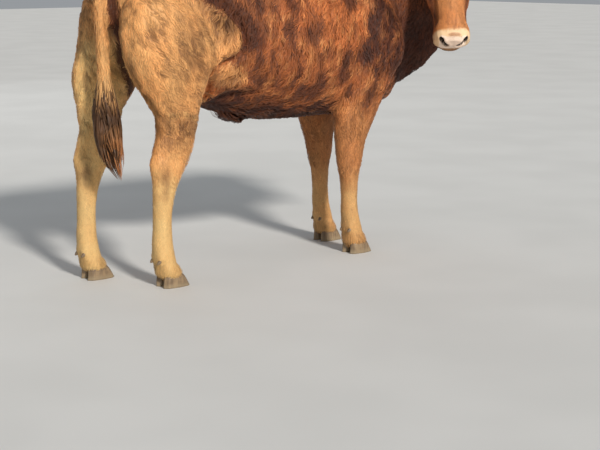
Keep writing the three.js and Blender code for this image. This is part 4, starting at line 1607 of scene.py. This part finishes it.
@dataclass
class Switch:
    """The heavy brush of long hair at the tail's end, in metres from the body's origin."""

    body: LocalFrame
    line: tuple = ((-0.731, -0.032, 0.90), (-0.731, -0.032, 0.78), (-0.730, -0.034, 0.70),
                   (-0.727, -0.040, 0.60), (-0.720, -0.060, 0.50), (-0.708, -0.092, 0.425))
    half: tuple = (0.018, 0.036, 0.057, 0.071, 0.060, 0.008)
    locks: int = 900
    tresses: int = 11  # how many larger locks they gather into
    places: int = 12
    width: float = 0.0058

    def build(self) -> Object:
        """Grows the brush.

        Returns:
            Its object.
        """
        random = np.random.default_rng(5)
        n, places = self.locks, self.places
        start = random.uniform(0.0, 0.34, n)
        wisp = random.random(n) < 0.1  # these run on to the very tip
        end = np.where(wisp, random.uniform(0.84, 1.0, n), random.uniform(0.69, 0.82, n))
        t = np.linspace(0, 1, places)
        s = start[:, None] + (end - start)[:, None] * t
        knots = np.linspace(0, 1, len(self.line))
        line = np.array(self.line)
        middle = np.stack([np.interp(s, knots, line[:, axis]) for axis in range(3)], -1)
        half = np.interp(s, knots, self.half)
        tress = random.integers(0, self.tresses, n)
        tress_turn = random.uniform(0, 2 * np.pi, self.tresses)
        tress_out = random.uniform(0.35, 0.95, self.tresses)
        turn = random.uniform(0, 2 * np.pi, n)
        out = np.sqrt(random.uniform(0.1, 1.0, n))
        gather = ease(t, 0.10, 0.8)[None] * 0.68
        own = np.stack([np.cos(turn), np.sin(turn)], 1)[:, None] * out[:, None, None]
        common = np.stack([np.cos(tress_turn), np.sin(tress_turn)], 1) * tress_out[:, None]
        offset = own * (1 - gather[..., None]) + common[tress][:, None] * gather[..., None]
        swell = np.minimum(1.0, 0.55 + 1.6 * t)[None, :, None]
        phase = random.uniform(0, 2 * np.pi, self.tresses)[tress][:, None]
        phase = phase + random.uniform(-0.5, 0.5, (n, 1))
        swing = np.sin(phase + s * 24) * 0.018 * ease(t, 0.05, 0.6)
        across = offset * half[..., None] * swell
        paths = middle + np.stack([across[..., 0] + 0.5 * swing, across[..., 1] + swing, 0 * swing], -1)
        outward = np.stack([np.cos(turn), np.sin(turn), 0 * turn], 1)[:, None]
        along = unit(np.gradient(paths, axis=1))
        sides = np.cross(outward + 0 * along, along)
        taper = np.interp(t, [0, 0.12, 0.6, 0.9, 1], [0.35, 0.9, 1.0, 0.55, 0.12])
        widths = self.width * random.uniform(0.6, 1.2, (n, 1)) * taper
        fray = random.uniform(-0.05, 0.05, (n, 1))
        dark = ease(paths[..., 2] + fray, 0.80, 0.70)
        pale = (random.random(self.tresses) < 0.4)[tress][:, None]
        pale = pale * ease(paths[..., 2], 0.66, 0.54)
        cream = 0.35 * (1 - dark)
        marks = np.stack([1 - 0.6 * pale, cream, dark * (1 - 0.62 * pale), 0 * dark], -1)
        shades = np.stack([random.random(n) ** 1.6, scatter(np.stack([tress] * 3, 1), 8)], 1)
        strands = StrandSet(self.body.world(paths), sides, widths, 0.5, 4)
        roots = np.stack([turn / (2 * np.pi), start / 0.34], 1) * 0.98 + 0.01
        mesh = strands.mesh("tail_brush", roots, marks, shades, 0.01)
        return new_object("tail_brush", mesh)


# ---- the eyes


@dataclass
class Eye:
    """One eyeball with its wet lid edges and lashes."""

    place: EyePlace
    head: LocalFrame
    segments: int = 64
    rings: int = 48
    iris: float = 0.0135  # half length of the iris, which is wider than high
    pupil: tuple = (0.0068, 0.0036)
    rim_points: int = 44
    rim_around: int = 8
    lashes: int = 46

    def _world(self, points: Array) -> Array:
        """Places along the eye's axes, in the whole model."""
        return self.head.world(points @ self.place.axes() + self.place.centre())

    def ball(self) -> Object:
        """The eyeball, with a clear front that stands out a little.

        Returns:
            Its object.
        """
        made = ball(self.place.radius, (0, 0, 0), self.segments, self.rings)
        made.name = made.data.name = "eyeball_" + word(self.place.side)
        points = np.array([vertex.co for vertex in made.data.vertices])
        away = np.hypot(points[:, 0] / 1.15, points[:, 1])
        front = points[:, 2] > 0
        points[:, 2] += front * 0.0011 * ease(away, self.iris, 0.0)
        u, v = points[:, 0], points[:, 1]
        iris = np.hypot(u / self.iris, v / (self.iris * 0.86))
        pupil = ((np.abs(u) / self.pupil[0]) ** 2.4 + (np.abs(v) / self.pupil[1]) ** 2.4) ** (1 / 2.4)
        turn = np.arctan2(v, u) / (2 * np.pi) + 0.5
        values = np.stack([np.where(front, iris, 3) / 3, np.where(front, pupil, 4) / 4, turn, 0 * u], 1)
        put_attribute(made.data, "eye", values.clip(0, 1))
        made.data.vertices.foreach_set("co", self._world(points).ravel())
        made.data.update()
        turn_outwards(made)
        made.data.shade_smooth()
        return made

    def rim(self) -> Object:
        """The wet edge of the lids, a ring round the opening.

        Returns:
            Its object.
        """
        edge = self.place.rim(np.linspace(0, 2 * np.pi, self.rim_points, endpoint=False))
        reach = self.place.radius + 0.0012
        depth = np.sqrt(reach**2 - (edge**2).sum(1))
        line = np.stack([edge[:, 0], edge[:, 1], depth], 1)
        along = unit(np.roll(line, -1, 0) - np.roll(line, 1, 0))
        outward = unit(line)
        across = np.cross(along, outward)
        thick = np.where(edge[:, 1] > 0, 0.0021, 0.0016)[:, None, None]
        turn = np.linspace(0, 2 * np.pi, self.rim_around, endpoint=False)[None, :, None]
        round_it = across[:, None] * np.cos(turn) + outward[:, None] * np.sin(turn) * 0.8
        ring = line[:, None] + round_it * thick
        n, m = self.rim_points, self.rim_around
        faces = [
            (i * m + j, i * m + (j + 1) % m, (i + 1) % n * m + (j + 1) % m, (i + 1) % n * m + j)
            for i in range(n) for j in range(m)
        ]
        name = "eye_rim_" + word(self.place.side)
        mesh = bpy.data.meshes.new(name)
        mesh.from_pydata(self._world(ring.reshape(-1, 3)).tolist(), [], faces)
        made = new_object(name, mesh)
        turn_outwards(made)
        mesh.shade_smooth()
        return made

    def lash(self) -> Object:
        """The lashes, longest on the upper lid.

        Returns:
            Their object.
        """
        random = np.random.default_rng(3 + self.place.side)
        n, places = self.lashes, 5
        turn = np.concatenate([random.uniform(0.12, 0.88, n * 3 // 4) * np.pi,
                               random.uniform(1.2, 1.8, n - n * 3 // 4) * np.pi])
        upper = np.sin(turn) > 0
        edge = self.place.rim(turn)
        reach = self.place.radius + 0.0022
        root = np.stack([edge[:, 0], edge[:, 1], np.sqrt(reach**2 - (edge**2).sum(1))], 1)
        away = unit(np.stack([edge[:, 0] * 0.8, edge[:, 1] * 0.7, 0.020 + 0 * turn], 1))
        length = np.where(upper, 0.017, 0.008) * random.uniform(0.75, 1.1, n)
        t = np.linspace(0, 1, places)
        curl = np.where(upper, -0.004, 0.002)[:, None]
        up = np.where(upper, 1, -1)[:, None]
        paths = root[:, None] + away[:, None] * (length[:, None] * t)[..., None]
        paths[..., 1] += curl * np.sin(t * np.pi) + 0.004 * up * t**2
        sides = np.tile(np.array([1.0, 0, 0]), (n, places, 1))
        widths = 0.0011 * np.interp(t, [0, 0.5, 1], [1, 0.8, 0.15]) * np.ones((n, 1))
        name = "lashes_" + word(self.place.side)
        axes = self.place.axes()
        world = self._world(paths.reshape(-1, 3)).reshape(paths.shape)
        strands = StrandSet(world, self.head.turned(sides @ axes), widths, 0.8, 3)
        marks = np.tile([0.0, 0.0, 0.85, 0.0], (n, 1))
        shades = np.stack([random.random(n), 0.5 + 0 * turn], 1)
        roots = np.stack([turn / (2 * np.pi), 0.5 + 0 * turn], 1)
        return new_object(name, strands.mesh(name, roots, marks, shades, 0.003))


# ---- the claws


@dataclass
class Claws:
    """The horn of the claws and dewclaws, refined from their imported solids."""

    nodes: dict
    fineness: float = 0.003
    rounds: int = 11  # of smoothing all over
    top_rounds: int = 26  # of smoothing at the coronet
    sole: float = 0.0022  # below this height nothing is smoothed

    def build(self) -> list:
        """Makes each piece of horn, and gives it with the node it stands for."""
        return [(self._horn(name), name) for name in sorted(self.nodes) if "claw" in name]

    def _horn(self, name: str) -> Object:
        """One claw or dewclaw.

        Args:
            name: Its node.

        Returns:
            Its object.
        """
        made = copy_of(self.nodes[name], "horn_" + name)
        made.data.name = made.name
        apply_modifier(made, "REMESH", mode="VOXEL", voxel_size=self.fineness)
        sheet = Sheet(made.data)
        low, high = sheet.points.min(0), sheet.points.max(0)
        free = ease(sheet.points[:, 2], self.sole, self.sole * 2.5)[:, None]
        top = ease(sheet.points[:, 2], high[2] - 0.030, high[2] - 0.004)[:, None]
        for turn in range(self.top_rounds):
            share = free * (1.0 if turn < self.rounds else top)
            sheet.points += (sheet.neighbours(sheet.points) - sheet.points) * 0.5 * share
        down = (high[2] - sheet.points[:, 2]) / (high[2] - low[2])
        x = (sheet.points[:, 0] - low[0]) / (high[0] - low[0])
        normals = sheet.normals()
        rings = np.sin((down - 0.22 * x) * 2 * np.pi * 7 + 1.2 * clouds(sheet.points, 0.03, 6))
        if "dewclaw" not in name:
            sheet.points += normals * (0.00035 * rings[:, None] * free)
            sheet.points[:, 2] = np.where(sheet.points[:, 2] < self.sole, 0.0, sheet.points[:, 2])
        else:
            middle = (low + high) / 2
            spread = 0.66 + 0.36 * x  # narrower towards its rear tip
            shape = np.stack([np.ones_like(x), spread, spread], 1)
            sheet.points = middle + (sheet.points - middle) * shape
            sheet.points += np.array([0.016, 0, 0.009]) * x[:, None] ** 1.3
            sheet.points += np.array([0.010, 0, -0.008]) * (1 - x[:, None]) ** 1.3
            sheet.points += normals * 0.0003 * rings[:, None]
        made.data.vertices.foreach_set("co", sheet.points.ravel())
        made.data.update()
        made.data.shade_smooth()
        put_attribute(made.data, "horn", np.stack([down, x, rings * 0.5 + 0.5, 0 * x], 1).clip(0, 1))
        return made


# ---- materials


def tone(red: int, green: int, blue: int) -> tuple:
    """A colour given as on a screen, 0 to 255, turned to the light that it reflects."""
    parts = [value / 255 for value in (red, green, blue)]
    return tuple(p / 12.92 if p <= 0.04045 else ((p + 0.055) / 1.055) ** 2.4 for p in parts) + (1.0,)


class Nodes:
    """Adds shader nodes to a tree and joins them."""

    def __init__(self, tree: NodeTree) -> None:
        """Keeps the tree that is added to."""
        self.tree = tree

    def add(self, kind: str, inputs: dict = None, **settings: object) -> Node:
        """Adds one node.

        Args:
            kind: Its type.
            inputs: What goes into its sockets: a value, or a socket to link from.
            **settings: Its properties.

        Returns:
            The node.
        """
        node = self.tree.nodes.new(kind)
        for name, value in settings.items():
            setattr(node, name, value)
        self.give(node, inputs or {})
        return node

    def give(self, node: Node, inputs: dict) -> None:
        """Sets a node's sockets, or links them where a socket is given.

        Args:
            node: The node.
            inputs: What goes into each of its sockets.
        """
        for name, value in inputs.items():
            if isinstance(value, NodeSocket):
                self.tree.links.new(value, node.inputs[name])
            else:
                node.inputs[name].default_value = value

    def mix(self, share: object, a: object, b: object, blend: str = "MIX") -> NodeSocket:
        """Mixes two colours."""
        inputs = {0: share, 6: a, 7: b}  # a mix node's colours come sixth and seventh
        return self.add("ShaderNodeMix", inputs, data_type="RGBA", blend_type=blend).outputs[2]

    def add_up(self, *values: object) -> NodeSocket:
        """The sum of numbers."""
        return self._fold("ADD", values)

    def times(self, *values: object) -> NodeSocket:
        """The product of numbers."""
        return self._fold("MULTIPLY", values)

    def _fold(self, operation: str, values: tuple) -> NodeSocket:
        """Works through numbers with one operation.

        Args:
            operation: What is done with the result so far and the next number.
            values: The numbers or sockets.

        Returns:
            The last result's socket.
        """
        total = values[0]
        for value in values[1:]:
            total = self.add("ShaderNodeMath", {0: total, 1: value}, operation=operation).outputs[0]
        return total

    def attribute(self, name: str) -> tuple:
        """What is stored at the vertices.

        Args:
            name: What it is called.

        Returns:
            The sockets of its four numbers.
        """
        node = self.add("ShaderNodeAttribute", attribute_name=name)
        parts = self.add("ShaderNodeSeparateColor", {"Color": node.outputs["Color"]}).outputs
        return parts[0], parts[1], parts[2], node.outputs["Alpha"]

    def place(self) -> NodeSocket:
        """The place on the object."""
        return self.add("ShaderNodeTexCoord").outputs["Object"]

    def bump(self, height: object, strength: float, distance: float) -> NodeSocket:
        """A normal roughened by a height."""
        inputs = {"Height": height, "Strength": strength, "Distance": distance}
        return self.add("ShaderNodeBump", inputs).outputs[0]

    def remap(self, value: object, low: float, high: float, to_low: float,
              to_high: float) -> NodeSocket:
        """Moves a number from one range to another, smoothly, and holds it there."""
        inputs = {"Value": value, "From Min": low, "From Max": high, "To Min": to_low, "To Max": to_high}
        return self.add("ShaderNodeMapRange", inputs, interpolation_type="SMOOTHSTEP").outputs["Result"]

    def noise(self, vector: object, scale: float, detail: float = 2.0) -> NodeSocket:
        """Noise from 0 to 1."""
        inputs = {"Vector": vector, "Scale": scale, "Detail": detail}
        return self.add("ShaderNodeTexNoise", inputs).outputs["Fac"]


def dressed(name: str, dress: object) -> Material:
    """Makes a material.

    Args:
        name: Its name.
        dress: Gives the inputs of its shader, from what adds its nodes.

    Returns:
        The material.
    """
    made = bpy.data.materials.new(name)
    made.use_nodes = True
    n = Nodes(made.node_tree)
    n.give(made.node_tree.nodes["Principled BSDF"], dress(n))
    return made


@dataclass(frozen=True)
class CoatTones:
    """The colours of the hair."""

    red: tuple = tone(196, 114, 60)
    gold: tuple = tone(237, 176, 110)
    cream: tuple = tone(250, 210, 140)
    dark: tuple = tone(76, 36, 17)
    pad: tuple = tone(255, 228, 204)
    tan: tuple = tone(176, 116, 84)
    name: str = "coat_tones"

    def group(self) -> NodeTree:
        """The shader node group that colours hair and skin alike.

        Returns:
            The group, with a colour, a roughness and a height.
        """
        tree = bpy.data.node_groups.new(self.name, "ShaderNodeTree")
        for name, kind in (("Color", "Color"), ("Roughness", "Float"), ("Height", "Float")):
            tree.interface.new_socket(name, in_out="OUTPUT", socket_type="NodeSocket" + kind)
        n = Nodes(tree)
        where = n.place()
        gold, cream, dark, bare = n.attribute("marks")
        along, across, own, clump = n.attribute("tuft")
        patches, fine = n.noise(where, 9.0, 3.0), n.noise(where, 160.0)
        colour = n.mix(gold, self.red, self.gold)
        colour = n.mix(cream, colour, self.cream)
        colour = n.mix(dark, colour, self.dark)
        warmth = n.mix(1.0, colour, tone(255, 214, 180), "MULTIPLY")
        colour = n.mix(n.remap(patches, 0.35, 0.65, 0.0, 0.22), colour, warmth)
        strand = {"X": n.times(own, 31.0), "Y": n.times(across, 4.6), "Z": n.times(along, 0.5)}
        streak = n.noise(n.add("ShaderNodeCombineXYZ", strand).outputs[0], 2.4)
        # Each tuft is darker at its root: painted shade where the hair meets the skin; the other terms vary
        # its tone.
        light = n.times(
            n.add_up(n.remap(own, 0.0, 1.0, 0.80, 1.14), n.remap(clump, 0.0, 1.0, -0.17, 0.17)),
            n.remap(along, 0.0, 0.8, 0.74, 1.10),
            n.remap(streak, 0.32, 0.68, 0.72, 1.2),
            n.remap(fine, 0.3, 0.7, 0.93, 1.06),
        )
        calm = n.add_up(n.times(gold, 0.18), n.times(cream, 0.22))  # pale hair varies less
        light = n.add_up(n.times(light, n.add_up(1.0, n.times(calm, -1.0))), calm)
        # Near black where along and own are both 0, as in the skin's nostrils: painted shade.
        light = n.times(light, n.remap(n.add_up(along, own), 0.0, 0.12, 0.06, 1.0))
        grey = n.add("ShaderNodeCombineColor", {"Red": light, "Green": light, "Blue": light})
        colour = n.mix(1.0, colour, grey.outputs[0], "MULTIPLY")
        skin = n.mix(n.remap(patches, 0.4, 0.6, 0.0, 0.2), self.pad, self.tan)
        colour = n.mix(bare, colour, skin)
        rough = n.add_up(n.remap(own, 0.0, 1.0, 0.52, 0.66), n.times(bare, -0.2))
        pebbles = n.add("ShaderNodeTexVoronoi", {"Vector": where, "Scale": 230.0})
        pebbles = n.times(pebbles.outputs["Distance"], -2.2, bare)
        height = n.add_up(fine, streak, pebbles)
        n.add("NodeGroupOutput", {"Color": colour, "Roughness": rough, "Height": height})
        return tree


@dataclass(frozen=True)
class HairFinish:
    """Hide or hair."""

    tones: NodeTree  # the shared group
    bump: float = 0.5
    sheen: float = 0.05

    def dress(self, n: Nodes) -> dict:
        """The inputs of the shader.

        Args:
            n: Adds nodes to the material.

        Returns:
            The inputs by name.
        """
        group = n.add("ShaderNodeGroup", node_tree=self.tones).outputs
        return {
            "Base Color": group["Color"],
            "Roughness": group["Roughness"],
            "Normal": n.bump(group["Height"], self.bump, 0.0015),
            "Sheen Weight": self.sheen,
            "Sheen Roughness": 0.5,
            "Specular IOR Level": 0.35,
        }


@dataclass(frozen=True)
class EyeFinish:
    """The wet eyeball: a dark brown iris round a level, oval pupil."""

    pupil: tuple = (0.004, 0.004, 0.006, 1.0)
    iris: tuple = tone(92, 54, 30)
    iris_rim: tuple = tone(30, 17, 12)
    white: tuple = tone(150, 112, 96)

    def dress(self, n: Nodes) -> dict:
        """The inputs of the shader.

        Args:
            n: Adds nodes to the material.

        Returns:
            The inputs by name.
        """
        out, middle, turn, _ = n.attribute("eye")
        spokes = n.add("ShaderNodeCombineXYZ", {"X": n.times(turn, 40.0), "Y": n.times(out, 3.0)})
        fibres = n.noise(spokes.outputs[0], 2.0)
        colour = n.mix(n.remap(fibres, 0.35, 0.65, 0.0, 0.6), self.iris, self.iris_rim)
        colour = n.mix(n.remap(out, 0.24, 0.32, 0.0, 1.0), colour, self.iris_rim)
        colour = n.mix(n.remap(out, 0.325, 0.36, 0.0, 1.0), colour, self.white)
        colour = n.mix(n.remap(middle, 0.24, 0.27, 1.0, 0.0), colour, self.pupil)
        return {"Base Color": colour, "Roughness": 0.05}


@dataclass(frozen=True)
class RimFinish:
    """The wet, dark edge of the lids."""

    skin: tuple = tone(58, 36, 30)
    flush: tuple = tone(112, 70, 58)

    def dress(self, n: Nodes) -> dict:
        """The inputs of the shader.

        Args:
            n: Adds nodes to the material.

        Returns:
            The inputs by name.
        """
        where = n.place()
        colour = n.mix(n.remap(n.noise(where, 220.0), 0.4, 0.7, 0.0, 1.0), self.skin, self.flush)
        normal = n.bump(n.noise(where, 900.0), 0.2, 0.0004)
        return {"Base Color": colour, "Roughness": 0.22, "Normal": normal}


@dataclass(frozen=True)
class HornFinish:
    """Claw horn: streaked from the coronet down, blotched, and worn towards the ground."""

    pale: tuple = tone(168, 142, 108)
    dark: tuple = tone(74, 58, 44)
    dust: tuple = tone(150, 132, 104)

    def dress(self, n: Nodes) -> dict:
        """The inputs of the shader.

        Args:
            n: Adds nodes to the material.

        Returns:
            The inputs by name.
        """
        down, _, rings, _ = n.attribute("horn")
        where = n.place()
        drawn = {"Vector": where, "Rotation": (0.2, 0.35, 0.5), "Scale": (90.0, 90.0, 14.0)}
        streaks = n.noise(n.add("ShaderNodeMapping", drawn).outputs[0], 1.0, 3.0)
        colour = n.mix(n.remap(streaks, 0.3, 0.7, 0.2, 0.65), self.pale, self.dark)
        colour = n.mix(n.remap(down, 0.0, 0.5, 0.45, 0.0), colour, self.dark)
        blotches = n.remap(n.noise(where, 34.0, 3.0), 0.35, 0.7, 0.0, 0.45)
        colour = n.mix(blotches, colour, self.dark)
        worn = n.remap(n.add_up(down, n.times(streaks, 0.3)), 0.75, 1.1, 0.0, 0.7)
        return {
            "Base Color": n.mix(worn, colour, self.dust),
            "Roughness": n.remap(streaks, 0.3, 0.7, 0.42, 0.62),
            "Normal": n.bump(n.add_up(streaks, rings), 0.3, 0.0006),
        }


@dataclass(frozen=True)
class FloorFinish:
    """Pale, plain and a little clouded."""

    pale: tuple = (0.70, 0.70, 0.68, 1)
    grey: tuple = (0.66, 0.66, 0.64, 1)

    def dress(self, n: Nodes) -> dict:
        """The inputs of the shader."""
        share = n.remap(n.noise(n.place(), 1.5), 0.3, 0.7, 0.0, 1.0)
        return {"Base Color": n.mix(share, self.grey, self.pale), "Roughness": 0.8}


# ---- the studio


@dataclass
class Studio:
    """A pale floor, soft light and the camera."""

    body: LocalFrame
    eye: tuple = (-3.31, -4.38, 1.24)
    pitch: float = math.radians(78.8)
    yaw: float = math.radians(-39.1)
    lens: float = 79.08
    floor_size: float = 60.0
    sun: float = 3.2
    sun_spread: float = math.radians(7)
    fill_power: float = 50.0

    def build(self) -> None:
        """Makes the floor, the lights and the camera."""
        self._camera()
        self._floor()
        sun = bpy.data.lights.new("key", "SUN")
        sun.energy, sun.angle, sun.color = self.sun, self.sun_spread, (1.0, 0.955, 0.9)
        self._hang(sun, (-1.09, -5.54, 4.05))
        fill = bpy.data.lights.new("fill", "AREA")
        fill.energy, fill.size, fill.color = self.fill_power, 6.0, (0.93, 0.97, 1.0)
        self._hang(fill, (1.5, 7.5, 4.5))
        world = bpy.data.worlds.new("studio")
        bpy.context.scene.world = world
        world.use_nodes = True
        sky = {"Color": (0.90, 0.945, 1.0, 1.0), "Strength": 0.34}
        Nodes(world.node_tree).give(world.node_tree.nodes["Background"], sky)
        bpy.context.scene.view_settings.view_transform = "Standard"

    def _camera(self) -> None:
        """Stands the camera behind the right hip, a little above the middle."""
        data = bpy.data.cameras.new("camera")
        data.lens, data.sensor_width, data.sensor_fit = self.lens, 36.0, "HORIZONTAL"
        camera = new_object("camera", data)
        camera.location = self.body.world(np.array(self.eye))
        camera.rotation_euler = (self.pitch, 0.0, self.yaw)
        bpy.context.scene.camera = camera

    def _floor(self) -> None:
        """Lays the pale floor."""
        bpy.ops.mesh.primitive_plane_add(size=self.floor_size, location=(0, 0, 0))
        floor = bpy.context.active_object
        floor.name = "floor"
        floor.data.materials.append(dressed("floor", FloorFinish().dress))

    def _hang(self, data: Light, place: tuple) -> None:
        """Hangs a light that faces the animal's middle.

        Args:
            data: The light.
            place: Where it hangs, from the body's origin.
        """
        light = new_object(data.name, data)
        light.location = self.body.world(np.array(place))
        aim = Vector(self.body.world(np.array([-0.1, 0, 0.8]))) - light.location
        light.rotation_euler = aim.to_track_quat("-Z", "Y").to_euler()


# ---- the whole animal


def finish_piece(piece: Object, material: Material, slot: Slot, *nodes: str) -> None:
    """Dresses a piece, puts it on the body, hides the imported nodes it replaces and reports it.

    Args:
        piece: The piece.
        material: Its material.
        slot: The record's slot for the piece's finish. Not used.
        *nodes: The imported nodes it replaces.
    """
    piece.data.materials.clear()
    piece.data.materials.append(material)
    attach(piece, "root")
    if nodes:
        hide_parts(*nodes)
    LOG.info("%s: %d faces", piece.name, len(piece.data.polygons))


def main() -> None:
    """Builds the animal and its studio."""
    logging.basicConfig(level=logging.INFO, format="%(message)s")
    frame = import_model()
    pose = Pose()
    body, head = pose.body(), pose.head()
    Studio(body).build()
    skin = Skin(frame, body, head)
    piece = skin.build()
    tones = CoatTones().group()
    hair = dressed("hair", HairFinish(tones).dress)
    finish_piece(piece, dressed("hide", HairFinish(tones, 0.35).dress), Slot.RED, *skin.nodes)
    coat = Coat(skin, Lie(body, head), 1.0)
    coat.comb()
    for part in COAT_PIECES:
        finish_piece(coat.grow(part), hair, part.slot)
    brush_tones = CoatTones(name="brush_tones", dark=tone(88, 60, 36), gold=tone(214, 158, 100)).group()
    brush_hair = dressed("tail_hair", HairFinish(brush_tones).dress)
    finish_piece(Switch(body).build(), brush_hair, Slot.TAIL, "tail_switch")
    wet, lid = dressed("eye", EyeFinish().dress), dressed("eye_rim", RimFinish().dress)
    for place in EYES:
        eye = Eye(place, head)
        finish_piece(eye.ball(), wet, Slot.EYE, "eye_" + word(place.side))
        finish_piece(eye.rim(), lid, Slot.NOSE)
        finish_piece(eye.lash(), hair, Slot.TAIL)
    horn = dressed("claw_horn", HornFinish().dress)
    for claw, node in Claws(frame["nodes"]).build():
        finish_piece(claw, horn, Slot.HORN, node)
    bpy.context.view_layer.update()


if __name__ == "__main__":
    main()
